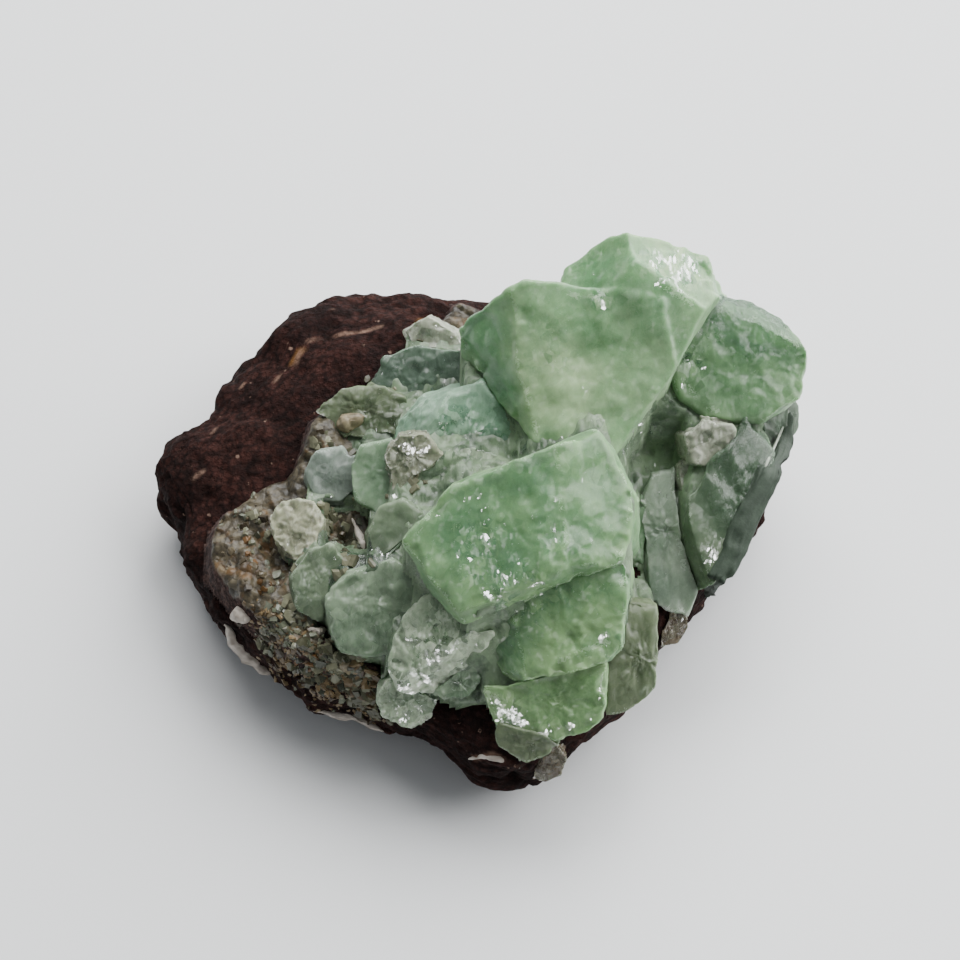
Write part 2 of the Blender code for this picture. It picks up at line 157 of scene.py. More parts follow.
# The finishes of crystal: record slot, colour of clear deep crystal, colour of milky crystal, milkiness and
# how much light a metre of it takes away.
CRYSTAL_FINISHES = {
    "green": ("green_crystal", (0.105, 0.265, 0.135), (0.245, 0.400, 0.170), 0.58, 110.0),
    "light": ("green_crystal", (0.135, 0.370, 0.160), (0.400, 0.550, 0.300), 0.62, 90.0),
    "vivid": ("green_crystal", (0.140, 0.300, 0.110), (0.260, 0.400, 0.180), 0.60, 110.0),
    "pale": ("pale_crystal", (0.130, 0.210, 0.110), (0.560, 0.650, 0.480), 0.60, 80.0),
    "teal": ("teal_crystal", (0.145, 0.330, 0.205), (0.370, 0.540, 0.390), 0.62, 110.0),
    "haze": ("teal_crystal", (0.045, 0.080, 0.058), (0.130, 0.185, 0.135), 0.62, 140.0),
    # The deep finish's colours are lightened as painted light, so that the crystals in the shaded valley look
    # lit.
    "deep": ("teal_crystal", (0.240, 0.450, 0.240), (0.480, 0.680, 0.440), 0.70, 50.0),
    "round": ("teal_crystal", (0.115, 0.210, 0.120), (0.245, 0.350, 0.215), 0.65, 120.0),
    # The fine finish's dark colour is painted shade for the valleys between the crystals, and its pale colour
    # is lightened as painted light for a shadowed spot.
    "fine": ("teal_crystal", (0.036, 0.066, 0.038), (0.225, 0.305, 0.185), 0.66, 110.0),
    "block": ("green_crystal", (0.055, 0.150, 0.072), (0.240, 0.390, 0.180), 0.58, 110.0),
    "moss": ("teal_crystal", (0.085, 0.130, 0.078), (0.210, 0.265, 0.165), 0.65, 120.0),
    "grey": ("grey_green_crystal", (0.095, 0.165, 0.095), (0.290, 0.375, 0.250), 0.62, 130.0),
    "slate": ("grey_green_crystal", (0.042, 0.082, 0.042), (0.100, 0.135, 0.078), 0.66, 130.0),
    "shade": ("grey_green_crystal", (0.030, 0.050, 0.032), (0.085, 0.110, 0.078), 0.66, 130.0),
    "column": ("grey_green_crystal", (0.190, 0.260, 0.190), (0.420, 0.490, 0.385), 0.64, 110.0),
    "olive": ("grey_green_crystal", (0.075, 0.094, 0.050), (0.165, 0.200, 0.108), 0.60, 140.0),
    "blue": ("grey_green_crystal", (0.095, 0.130, 0.110), (0.250, 0.290, 0.250), 0.65, 110.0),
    "clear": ("pale_crystal", (0.160, 0.175, 0.120), (0.450, 0.460, 0.360), 0.50, 50.0),
    "tan": ("cream_crystal", (0.120, 0.125, 0.080), (0.340, 0.340, 0.240), 0.62, 80.0),
    "cream": ("cream_crystal", (0.110, 0.110, 0.062), (0.440, 0.435, 0.300), 0.70, 60.0),
    "smoky": ("brown_crystal", (0.020, 0.010, 0.005), (0.120, 0.070, 0.040), 0.50, 200.0),
}

# Zones where a crystal is clearer and deeper (amount above 0) or cloudier (below 0), a few of which darken a
# facet that the window
# # lights as painted shade: the column and row of the frame at which the zone is seen, its radius in mm and
# its amount.
CRYSTAL_ZONES = {
    "crystal_centre": [
        (505, 560, 4.0, 0.30), (460, 530, 4.0, 0.25), (620, 560, 4.0, -0.1),
        (560, 530, 4.0, 0.2), (540, 480, 4.0, 0.15),
    ],
    "crystal_upper_pair": [
        (480, 330, 5.0, 0.35), (500, 385, 4.0, 0.5), (560, 390, 6.5, -0.4), (600, 430, 6.0, -0.4),
        (620, 270, 5.0, 0.15), (590, 280, 4.0, 0.2), (600, 340, 3.5, 0.1),
        (660, 290, 3.0, 0.1),
    ],
    "crystal_right": [
        # The zone at column 750, row 312 is painted shade: it darkens the top facet, which the window's
        # reflection brightens.
        (740, 370, 7.0, 0.08), (750, 400, 4.0, 0.1), (750, 312, 6.0, 0.9), (790, 350, 3.0, 0.3),
    ],
    "crystal_lower": [(520, 640, 3.5, 0.15), (600, 620, 3.0, -0.25), (560, 650, 5.0, -0.35)],
    "crystal_bottom": [(500, 700, 3.0, -0.3)],
    "crystal_left_pale": [(440, 690, 5.0, -0.2), (400, 620, 3.0, 0.3)],
    "crystal_teal": [(500, 420, 4.0, 0.1), (440, 440, 4.0, -0.1)],
    # The first two zones are partly the crystal's own dark green and partly painted shade on the face that
    # the window lights.
    "crystal_right_long": [(750, 440, 6.0, 0.6), (745, 500, 6.0, 0.5), (720, 560, 4.0, -0.5)],
    "crystal_column_pair": [(650, 590, 3.5, 0.6), (655, 540, 2.5, 0.4), (690, 540, 5.0, -0.3)],
}

# Zones where a crystal's surface is shattered into small cleavage planes: column, row, radius in mm, amount.
SHATTER_ZONES = {
    "crystal_upper_pair": [
        (682, 266, 4.0, 1.0), (650, 262, 2.5, 0.6), (545, 350, 4.0, 0.3), (600, 300, 1.5, 0.6),
    ],
    "crystal_right": [(690, 365, 2.0, 0.8), (700, 330, 2.0, 0.3)],
    "crystal_centre": [
        (520, 595, 4.0, 0.9), (480, 550, 4.0, 0.6), (440, 500, 2.5, 0.6), (560, 540, 3.0, 0.3),
    ],
    "crystal_lower": [(540, 600, 3.0, 0.5), (600, 650, 3.0, 0.5), (545, 680, 3.0, 0.6)],
    "crystal_bottom": [(500, 715, 3.0, 1.0), (560, 740, 3.0, 0.6)],
    "crystal_left_pale": [(440, 680, 9.0, 0.8)],
    "crystal_left_grey": [(440, 620, 4.0, 0.6)],
    "crystal_teal": [(460, 425, 3.5, 0.9), (490, 450, 3.0, 0.6)],
    "crystal_column_pair": [(700, 480, 3.0, 0.5)],
    "crystal_right_long": [(715, 560, 4.0, 0.7)],
}

# Edges that are bruised white, as lines of columns and rows of the frame, with a width in mm.
FROST_LINES = {
    "crystal_upper_pair": [
        ([(457, 332), (480, 305), (505, 292), (560, 294), (602, 299)], 0.28),
        ([(519, 351), (527, 385), (541, 443)], 0.25), ([(651, 432), (640, 452), (622, 462)], 0.3),
        ([(640, 268), (668, 288), (692, 304)], 0.15), ([(706, 249), (711, 270), (713, 291)], 0.35),
    ],
    "crystal_right": [
        ([(705, 305), (750, 317), (797, 342)], 0.2), ([(686, 345), (681, 378), (700, 402), (718, 412)], 0.3),
        ([(797, 342), (801, 380), (790, 412)], 0.2),
    ],
    "crystal_centre": [
        ([(475, 620), (512, 608), (548, 590), (590, 574), (624, 550)], 0.6),
        ([(624, 550), (632, 505)], 0.4),
        ([(414, 535), (435, 508)], 0.35), ([(440, 500), (500, 468), (545, 450)], 0.2),
    ],
    "crystal_lower": [([(515, 672), (560, 660), (610, 640)], 0.35), ([(622, 585), (628, 560)], 0.4)],
    "crystal_bottom": [
        ([(490, 690), (500, 712), (520, 722)], 0.7), ([(520, 722), (590, 738), (612, 715)], 0.3),
    ],
    "crystal_left_pale": [([(385, 715), (420, 722), (470, 700), (484, 665)], 0.5)],
    "crystal_right_long": [([(792, 425), (765, 480), (745, 520), (722, 570)], 0.25)],
    "crystal_column_pair": [([(672, 480), (676, 520), (684, 570), (690, 610)], 0.4)],
}

# Cleavage flashes: lines like the ones above along which torn shapes shine white.
GLINT_LINES = {
    "crystal_upper_pair": [
        ([(660, 244), (658, 256), (652, 270)], 0.8), ([(684, 250), (691, 262), (683, 276)], 1.2),
        ([(670, 262), (676, 276)], 1.0), ([(656, 282), (672, 284), (686, 296)], 0.8),
        ([(700, 262), (704, 290)], 0.7),
        ([(600, 299), (603, 308)], 0.4), ([(553, 350), (562, 364)], 0.5), ([(540, 372), (548, 382)], 0.4),
        ([(528, 350), (540, 346)], 0.3), ([(587, 392), (590, 400)], 0.3),
    ],
    "crystal_right": [
        ([(684, 350), (688, 366)], 0.7), ([(682, 376), (686, 392)], 0.4), ([(700, 318), (712, 322)], 0.3),
    ],
    "crystal_centre": [
        ([(505, 524), (510, 536)], 0.4), ([(516, 556), (522, 570)], 0.6), ([(498, 572), (506, 584)], 0.6),
        ([(552, 492), (556, 500)], 0.4), ([(554, 528), (558, 540)], 0.4), ([(588, 536), (592, 541)], 0.3),
        ([(428, 520), (442, 512)], 0.5), ([(484, 536), (490, 545)], 0.5), ([(480, 590), (500, 600)], 0.7),
        ([(462, 500), (480, 496)], 0.4), ([(530, 588), (545, 580)], 0.5), ([(470, 560), (476, 566)], 0.4),
    ],
    "crystal_lower": [
        ([(530, 588), (545, 596)], 0.6), ([(560, 640), (575, 636)], 0.5), ([(600, 640), (610, 630)], 0.5),
    ],
    "crystal_bottom": [
        ([(500, 705), (512, 716)], 0.8), ([(520, 722), (545, 734)], 0.6), ([(570, 726), (590, 720)], 0.5),
        ([(598, 690), (604, 706)], 0.5),
    ],
    "crystal_left_pale": [
        ([(410, 640), (424, 656)], 1.0), ([(432, 620), (446, 632)], 1.0), ([(404, 690), (420, 700)], 1.2),
        ([(425, 662), (450, 650)], 0.9), ([(456, 640), (470, 632)], 0.7), ([(450, 690), (478, 672)], 0.7),
        ([(415, 672), (428, 684)], 0.9), ([(440, 704), (452, 694)], 0.7), ([(450, 618), (462, 628)], 0.6),
    ],
    "crystal_left_grey": [([(425, 600), (445, 615)], 0.9), ([(380, 660), (392, 668)], 0.7)],
    "crystal_teal": [
        ([(458, 432), (464, 424), (472, 418)], 0.8), ([(428, 420), (437, 413)], 0.4),
        ([(468, 452), (474, 462)], 0.5),
        ([(490, 434), (500, 444)], 0.5), ([(446, 466), (456, 474)], 0.6),
    ],
    "crystal_toe": [([(392, 705), (402, 716)], 1.0), ([(410, 716), (420, 710)], 0.8)],
    "crystal_pale_ledge": [([(446, 480), (460, 474)], 0.6), ([(470, 486), (484, 478)], 0.6)],
    "crystal_tan": [
        ([(404, 444), (412, 452)], 0.8), ([(414, 458), (426, 448)], 0.7), ([(412, 470), (420, 462)], 0.5),
    ],
    "crystal_white_chip": [([(694, 440), (704, 452)], 1.2), ([(688, 456), (700, 460)], 0.8)],
    "crystal_pale_chip": [([(352, 436), (366, 446)], 1.2)],
    "crystal_clear_chip": [([(428, 344), (440, 354)], 1.2)],
    "crystal_column_pair": [([(660, 490), (668, 500)], 0.5), ([(676, 530), (680, 545)], 0.4)],
    "crystal_right_long": [([(708, 548), (718, 560)], 0.7), ([(716, 568), (722, 580)], 0.6)],
}


# ---------------------------------------------------------------------------------------------------------
# Numbers


# After how many steps each way the noise and the cells repeat.
NOISE_REPEAT = 32
CELL_REPEAT = 16


def smooth_step(low, high, value):
    """0 at low, 1 at high and t*t*(3 - 2*t) between them."""
    t = np.clip((value - low) / (high - low), 0.0, 1.0)
    return t * t * (3.0 - 2.0 * t)


def unit(vectors):
    """Vectors scaled to a length of 1."""
    return vectors / np.maximum(np.linalg.norm(vectors, axis=-1, keepdims=True), 1e-12)


def lattice_noise(points, spacing, seed):
    """Smooth noise from -1 to 1: random values on a cubic lattice, eased between by s*s*(3 - 2*s)."""
    values = np.random.default_rng(seed).uniform(-1.0, 1.0, (NOISE_REPEAT, NOISE_REPEAT, NOISE_REPEAT))
    place = points / spacing
    cell = np.floor(place).astype(int)
    ease = place - cell
    ease = ease * ease * (3.0 - 2.0 * ease)
    total = np.zeros(len(points))
    for step in np.ndindex(2, 2, 2):
        weight = np.prod(np.where(step, ease, 1.0 - ease), axis=1)
        at = (cell + step) % NOISE_REPEAT
        total += weight * values[at[:, 0], at[:, 1], at[:, 2]]
    return total


def rough_noise(points, spacing, seed, octaves=3):
    """Lattice noise summed over octaves, each half the height and half the spacing of the one before."""
    return sum(0.5**k * lattice_noise(points, spacing * 0.5**k, seed + k) for k in range(octaves))


def cells(points, spacing, seed):
    """Jittered cells: each point's distances to the nearest two seeds, in spacings, and its cell's number.

    One seed lies at random in the middle of each cube of a lattice, and a point searches the eight nearest
    cubes.
    """
    size = CELL_REPEAT
    jitter = np.random.default_rng(seed).uniform(0.15, 0.85, (size, size, size, 3))
    place = points / spacing
    cube = np.floor(place - 0.5).astype(int)
    first = np.full(len(points), 9.0)
    second = np.full(len(points), 9.0)
    number = np.zeros(len(points), dtype=int)
    for step in np.ndindex(2, 2, 2):
        at = cube + np.array(step)
        wrapped = at % size
        seeds = at + jitter[wrapped[:, 0], wrapped[:, 1], wrapped[:, 2]]
        away = np.linalg.norm(place - seeds, axis=1)
        nearer = away < first
        second = np.where(nearer, first, np.minimum(second, away))
        number = np.where(nearer, (wrapped[:, 0] * size + wrapped[:, 1]) * size + wrapped[:, 2], number)
        first = np.where(nearer, away, first)
    return first, second, number


def broken_planes(points, spacing, seed):
    """Fracture relief from about -1 to 1: every cell is a plane of its own slope, bevelled at its border."""
    near, next_near, number = cells(points, spacing, seed)
    slopes = np.random.default_rng(seed + 1).uniform(-1.0, 1.0, (CELL_REPEAT**3, 4))
    chosen = slopes[number]
    plane = chosen[:, 3] * 0.6 + 0.4 * np.sin(np.sum(chosen[:, :3] * points, axis=1) / spacing * 2.0)
    return plane * smooth_step(0.0, 0.35, next_near - near)


# ---------------------------------------------------------------------------------------------------------
# Surfaces


def cube_sphere(divisions):
    """Unit directions through a grid on each face of a cube, welded at the cube's edges, and its quads.

    A grid line at i of n stands at tan(pi/4 * (2i/n - 1)) on the cube, which spaces the directions evenly.
    """
    steps = np.arange(divisions + 1)
    u, v = np.meshgrid(steps, steps, indexing="ij")
    index = np.arange((divisions + 1) ** 2).reshape(divisions + 1, divisions + 1)
    corners, quads = [], []
    for axis in range(3):
        for side in (0, divisions):
            grid = np.empty((divisions + 1, divisions + 1, 3), dtype=int)
            grid[..., axis] = side
            grid[..., (axis + 1) % 3] = u if side else v
            grid[..., (axis + 2) % 3] = v if side else u
            face = index + len(corners) * index.size
            quad = np.stack([face[:-1, :-1], face[1:, :-1], face[1:, 1:], face[:-1, 1:]], axis=-1)
            corners.append(grid.reshape(-1, 3))
            quads.append(quad.reshape(-1, 4))
    lattice = np.concatenate(corners)
    keys = (lattice[:, 0] * (divisions + 1) + lattice[:, 1]) * (divisions + 1) + lattice[:, 2]
    _, first, welded = np.unique(keys, return_index=True, return_inverse=True)
    directions = np.tan(math.pi / 4 * (2.0 * lattice[first] / divisions - 1.0))
    return unit(directions), welded[np.concatenate(quads)]


def solid_triangles(node):
    """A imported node's triangles as an array of corners."""
    mesh = frame["nodes"][node].data
    mesh.calc_loop_triangles()
    corners = np.empty(len(mesh.vertices) * 3)
    mesh.vertices.foreach_get("co", corners)
    index = np.empty(len(mesh.loop_triangles) * 3, dtype=np.int32)
    mesh.loop_triangles.foreach_get("vertices", index)
    return corners.reshape(-1, 3)[index].reshape(-1, 3, 3)


def middle_of(triangles):
    """Middle of the volume that triangles close: the sum of each one's tetrahedron to the origin."""
    volume = np.einsum("ij,ij->i", triangles[:, 0], np.cross(triangles[:, 1], triangles[:, 2]))
    return (triangles.sum(axis=1) / 4 * volume[:, None]).sum(axis=0) / volume.sum()


def outer_faces(triangles):
    """Which triangles no corner of the solid stands above: its grown facets, and not its joints to others."""
    normals = unit(np.cross(triangles[:, 1] - triangles[:, 0], triangles[:, 2] - triangles[:, 0]))
    heights = triangles.reshape(-1, 3) @ normals.T - np.einsum("ij,ij->i", triangles[:, 0], normals)
    return heights.max(axis=0) < 0.02 * MM


def sharp_edges(triangles):
    """The sides along which two grown facets meet at more than 20 degrees, as pairs of ends.

    Corners are numbered by their rounded places, and a side that two facets share turns up twice.
    """
    grown = triangles[outer_faces(triangles)]
    normals = unit(np.cross(grown[:, 1] - grown[:, 0], grown[:, 2] - grown[:, 0]))
    rounded = np.round(grown.reshape(-1, 3) / (0.001 * MM)).astype(np.int64)
    numbers = np.unique(rounded, axis=0, return_inverse=True)[1].reshape(-1, 3)
    sides = np.concatenate([numbers[:, [k, (k + 1) % 3]] for k in range(3)])
    ends = np.concatenate([grown[:, [k, (k + 1) % 3]] for k in range(3)])
    owner = np.tile(np.arange(len(grown)), 3)
    keys = sides.min(axis=1) * (numbers.max() + 1) + sides.max(axis=1)
    order = np.argsort(keys, kind="stable")
    paired = keys[order][:-1] == keys[order][1:]
    first, second = order[:-1][paired], order[1:][paired]
    cosine = np.einsum("ij,ij->i", normals[owner[first]], normals[owner[second]])
    return ends[first[cosine < math.cos(math.radians(20))]]


def line_distance(points, sides):
    """Distance from each point to the nearest of some sides, by the nearest place along each."""
    nearest = np.full(len(points), 99.0)
    for a, b in sides:
        along = np.clip((points - a) @ (b - a) / max((b - a) @ (b - a), 1e-12), 0.0, 1.0)
        nearest = np.minimum(nearest, np.linalg.norm(points - a - along[:, None] * (b - a), axis=1))
    return nearest


def reach(centre, directions, triangles):
    """Distance from a centre to the first triangle that each direction meets, and that triangle's number.

    With corners a, b, c and normal n = ab x ac, a ray meets the plane at t = n.(a - centre) / n.d, and the
    crossing's shares of b and c are its offset from a along ac x n and n x ab, over n.n.
    """
    a = triangles[:, 0]
    ab, ac = triangles[:, 1] - a, triangles[:, 2] - a
    normals = np.cross(ab, ac)
    square = np.maximum(np.einsum("ij,ij->i", normals, normals), 1e-30)[:, None]
    to_b, to_c = np.cross(ac, normals) / square, np.cross(normals, ab) / square
    height, from_b, from_c = (np.einsum("ij,ij->i", centre - a, axis) for axis in (normals, to_b, to_c))
    distances, faces = [], []
    for block in np.array_split(directions, len(directions) // 4000 + 1):
        slope = block @ normals.T
        t = -height / np.where(np.abs(slope) < 1e-18, 1e-18, slope)
        b = t * (block @ to_b.T) + from_b
        c = t * (block @ to_c.T) + from_c
        t = np.where((b > -1e-6) & (c > -1e-6) & (b + c < 1 + 1e-6) & (t > 1e-6), t, np.inf)
        faces.append(t.argmin(axis=1))
        distances.append(t.min(axis=1))
    distance = np.concatenate(distances)
    met = np.isfinite(distance)
    return np.where(met, distance, np.median(distance[met])), np.concatenate(faces)


def neighbours(quads, count):
    """A function that averages values over each vertex's neighbours along the quads' sides."""
    a = quads.ravel()
    b = np.roll(quads, -1, axis=1).ravel()
    degree = np.bincount(a, minlength=count) + np.bincount(b, minlength=count)

    def average(values):
        columns = []
        for column in values.T:
            forward = np.bincount(a, weights=column[b], minlength=count)
            columns.append(forward + np.bincount(b, weights=column[a], minlength=count))
        return np.stack(columns, axis=1) / degree[:, None]

    return average


def relaxed(points, average, rounds):
    """Points moved half way to the mean of their neighbours, a number of times, which rounds every edge."""
    for _ in range(rounds):
        points = 0.5 * points + 0.5 * average(points)
    return points


def vertex_normals(points, quads):
    """Outward direction at each point, from the diagonals of the quads round it."""
    across = np.cross(points[quads[:, 2]] - points[quads[:, 0]], points[quads[:, 3]] - points[quads[:, 1]])
    shares = np.repeat(across, 4, axis=0)
    total = [np.bincount(quads.ravel(), weights=shares[:, k], minlength=len(points)) for k in range(3)]
    return unit(np.stack(total, axis=1))


def mesh_object(name, points, faces, surface, attributes=None, smooth=True):
    """A mesh object at the origin, with its points and faces put in as whole arrays."""
    mesh = bpy.data.meshes.new(name)
    faces = np.asarray(faces)
    mesh.vertices.add(len(points))
    mesh.vertices.foreach_set("co", np.ascontiguousarray(points, dtype=np.float32).ravel())
    mesh.loops.add(faces.size)
    mesh.loops.foreach_set("vertex_index", faces.astype(np.int32).ravel())
    mesh.polygons.add(len(faces))
    mesh.polygons.foreach_set("loop_start", np.arange(0, faces.size, faces.shape[1], dtype=np.int32))
    mesh.update(calc_edges=True)
    mesh.polygons.foreach_set("use_smooth", np.full(len(faces), smooth))
    for key, values in (attributes or {}).items():
        mesh.attributes.new(key, "FLOAT", "POINT").data.foreach_set("value", values.astype(np.float32))
    mesh.materials.append(surface)
    obj = bpy.data.objects.new(name, mesh)
    bpy.context.scene.collection.objects.link(obj)
    return obj


def add_piece(obj, slot, *nodes):
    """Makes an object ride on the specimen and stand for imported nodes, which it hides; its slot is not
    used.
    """
    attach(obj, BODY)
    if nodes:
        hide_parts(*nodes)


class Sight:
    """What a ray meets first among some objects."""

    def __init__(self, objects):
        self.objects = list(objects)
        self.trees = []
        for obj in self.objects:
            corners = [vertex.co for vertex in obj.data.vertices]
            faces = [tuple(face.vertices) for face in obj.data.polygons]
            self.trees.append(BVHTree.FromPolygons(corners, faces))

    def cast(self, start, way):
        """The nearest place, its normal and its object, or None."""
        best = None
        for obj, tree in zip(self.objects, self.trees):
            place, normal, _, distance = tree.ray_cast(start, way)
            if place is not None and (best is None or distance < best[3]):
                best = (place, normal, obj, distance)
        return best

    def at(self, column, row):
        """What the camera sees at a column and row of its frame."""
        per_pixel = VIEW_WIDTH / FRAME
        aim = CAMERA_RIGHT * (column - FRAME / 2) * per_pixel - CAMERA_UP * (row - FRAME / 2) * per_pixel
        eye = CAMERA_AIM + CAMERA_BACK * CAMERA_DISTANCE
        return self.cast(eye, (CAMERA_AIM + aim - eye).normalized())

    def places(self, route):
        """The places seen along a route of columns and rows, without those where nothing is."""
        hits = [self.at(column, row) for column, row in route]
        return [np.array(hit[0]) for hit in hits if hit]

    def inwards(self, column, row):
        """What the camera sees there or, past the outline, at the first place on the way to the middle."""
        for share in np.linspace(0.0, 0.4, 80):
            hit = self.at(column + (FRAME / 2 - column) * share, row + (FRAME / 2 - row) * share)
            if hit:
                return hit
        raise RuntimeError(f"Nothing is seen at {column}, {row}")


# ---------------------------------------------------------------------------------------------------------
# Shader maths


class Value:
    """A node's output that arithmetic can be written on: each operator adds a Math node."""

    def __init__(self, shader, socket):
        self.shader = shader
        self.socket = socket

    def math(self, operation, *inputs):
        return self.shader.make("Math", {"operation": operation}, dict(enumerate(inputs)))

    def __add__(self, other):
        return self.math("ADD", self, other)

    def __radd__(self, other):
        return self.math("ADD", other, self)

    def __sub__(self, other):
        return self.math("SUBTRACT", self, other)

    def __rsub__(self, other):
        return self.math("SUBTRACT", other, self)

    def __mul__(self, other):
        return self.math("MULTIPLY", self, other)

    def __rmul__(self, other):
        return self.math("MULTIPLY", other, self)

    def apart(self, middle):
        """How far the value lies from a middle."""
        return self.math("ABSOLUTE", self - middle)

    def clipped(self):
        """Held between 0 and 1."""
        return self.shader.make("Clamp", {}, {"Value": self})

    def between(self, low, high):
        """0 at low, 1 at high and a smooth step from one to the other."""
        settings = {"interpolation_type": "SMOOTHSTEP"}
        ends = {"Value": self, "From Min": min(low, high), "From Max": max(low, high)}
        if low > high:
            ends.update({"To Min": 1.0, "To Max": 0.0})
        return self.shader.make("MapRange", settings, ends)


class Shader:
    """A material's nodes."""

    def __init__(self, name):
        self.material = bpy.data.materials.new(name)
        self.material.use_nodes = True
        self.tree = self.material.node_tree
        self.tree.nodes.clear()
        self.place = self.make("TexCoord", {}, {}, "Object")

    def make(self, kind, settings, inputs, output=0):
        """Adds a node, sets its settings, then its sockets' values or links, and returns one output."""
        node = self.tree.nodes.new("ShaderNode" + kind)
        for name, value in settings.items():
            setattr(node, name, value)
        for name, value in inputs.items():
            if isinstance(value, Value):
                self.tree.links.new(value.socket, node.inputs[name])
            else:
                node.inputs[name].default_value = value
        return Value(self, node.outputs[output])

    def moved(self, seed, stretch=(1.0, 1.0, 1.0), turn=(0.0, 0.0, 0.0)):
        """The object's own coordinates, shifted by a seed, turned and stretched."""
        shift = (seed, 0.7 * seed, -0.4 * seed)
        inputs = {"Vector": self.place, "Location": shift, "Rotation": turn, "Scale": stretch}
        return self.make("Mapping", {}, inputs)

    def noise(self, spacing, seed, detail=3.0, roughness=0.55, distortion=0.0):
        """Noise from 0 to 1 whose lumps are about a spacing apart."""
        inputs = {
            "Vector": self.moved(seed), "Scale": 1.0 / spacing, "Detail": detail, "Roughness": roughness,
            "Distortion": distortion,
        }
        return self.make("TexNoise", {}, inputs)

    def cells(self, spacing, seed):
        """Distance from 0 to about 1 to the middle of the nearest cell."""
        return self.make("TexVoronoi", {}, {"Vector": self.moved(seed), "Scale": 1.0 / spacing}, "Distance")

    def also(self, value, output):
        """Another output of the node that a value comes from."""
        return Value(self, value.socket.node.outputs[output])

    def own_value(self, cell):
        """A value from 0 to 1 of its own for each cell."""
        return self.make("TexWhiteNoise", {}, {"Vector": self.also(cell, "Position")}, "Value")

    def cell_colours(self, spacing, where):
        """A random colour for each cell."""
        return self.make("TexVoronoi", {}, {"Vector": where, "Scale": 1.0 / spacing}, "Color")

    def channel(self, colour, number=0):
        """One channel of a colour."""
        return self.make("SeparateColor", {}, {"Color": colour}, number)

    def vector(self, operation, a, b, output=0):
        """Two vectors combined by one Vector Math operation."""
        return self.make("VectorMath", {"operation": operation}, {0: a, 1: b}, output)

    def slope(self, tilt):
        """Each cell's colour less a half, which is the slope of its plane each way."""
        return self.vector("SUBTRACT", tilt, (0.5, 0.5, 0.5))

    def tilted(self, tilt, where, spacing):
        """Height of small planes through the middles of cells, whose colours give the planes' slopes."""
        away = self.vector("SUBTRACT", where, self.also(tilt, "Position"))
        return self.vector("DOT_PRODUCT", self.slope(tilt), away, "Value") * (1.0 / spacing)

    def facing(self, normal, tilt, amount, stretch=(1.0, 1.0, 1.0)):
        """A normal turned away by each cell's slope times a stretch and an amount."""
        slope = self.vector("MULTIPLY", self.slope(tilt), stretch)
        slope = self.make("VectorMath", {"operation": "SCALE"}, {0: slope, "Scale": amount})
        return self.vector("SUBTRACT", normal, slope)

    def attribute(self, name):
        """The mesh's own value of that name."""
        return self.make("Attribute", {"attribute_name": name}, {}, "Fac")

    def mix(self, factor, a, b, blend="MIX"):
        """One colour into another."""
        a, b = (c if isinstance(c, Value) else (*c, 1.0) for c in (a, b))
        return self.make("Mix", {"data_type": "RGBA", "blend_type": blend}, {0: factor, 6: a, 7: b}, 2)

    def bump(self, height, strength, distance):
        """The surface's normal, turned by a height."""
        return self.make("Bump", {}, {"Height": height, "Strength": strength, "Distance": distance})

    def principled(self, **inputs):
        """A Principled shader, whose sockets' names have their spaces written as underscores."""
        sockets = {name.replace("_", " "): value for name, value in inputs.items()}
        return self.make("BsdfPrincipled", {}, sockets)

    def finish(self, surface, volume=None):
        """Links the material's output, and gives the material."""
        node = self.tree.nodes.new("ShaderNodeOutputMaterial")
        self.tree.links.new(surface.socket, node.inputs["Surface"])
        if volume is not None:
            self.tree.links.new(volume.socket, node.inputs["Volume"])
        return self.material


# ---------------------------------------------------------------------------------------------------------
# Finishes


# The pale colour that every crystal's colours hold a share of.
MILK = (0.60, 0.80, 0.60)
MILK_SHARE = 0.06

# The grey that a bruised edge takes on.
BRUISE = 0.58

# The mm between a crystal's clouds, veils, feathers, cleavage planes and splinters.
CLOUDS, VEILS, FEATHERS, CHIPS, SPLINTERS = 3.5, 1.1, 0.35, 0.9, 0.22

# How its cleavage planes are drawn out along the object's own axes.
DRAWN_OUT = (1.0, 0.35, 1.0)

# The pale green that light takes on inside clear crystal.
CLEAR_TINT = (0.85, 1.0, 0.88)


def mixed(share, colour, other):
    """A colour with a share of another in it."""
    return tuple((1.0 - share) * a + share * b for a, b in zip(colour, other))


def frosted(colour):
    """The whitish colour of a bruised edge on a crystal."""
    return mixed(0.4, colour, (BRUISE, BRUISE, BRUISE))


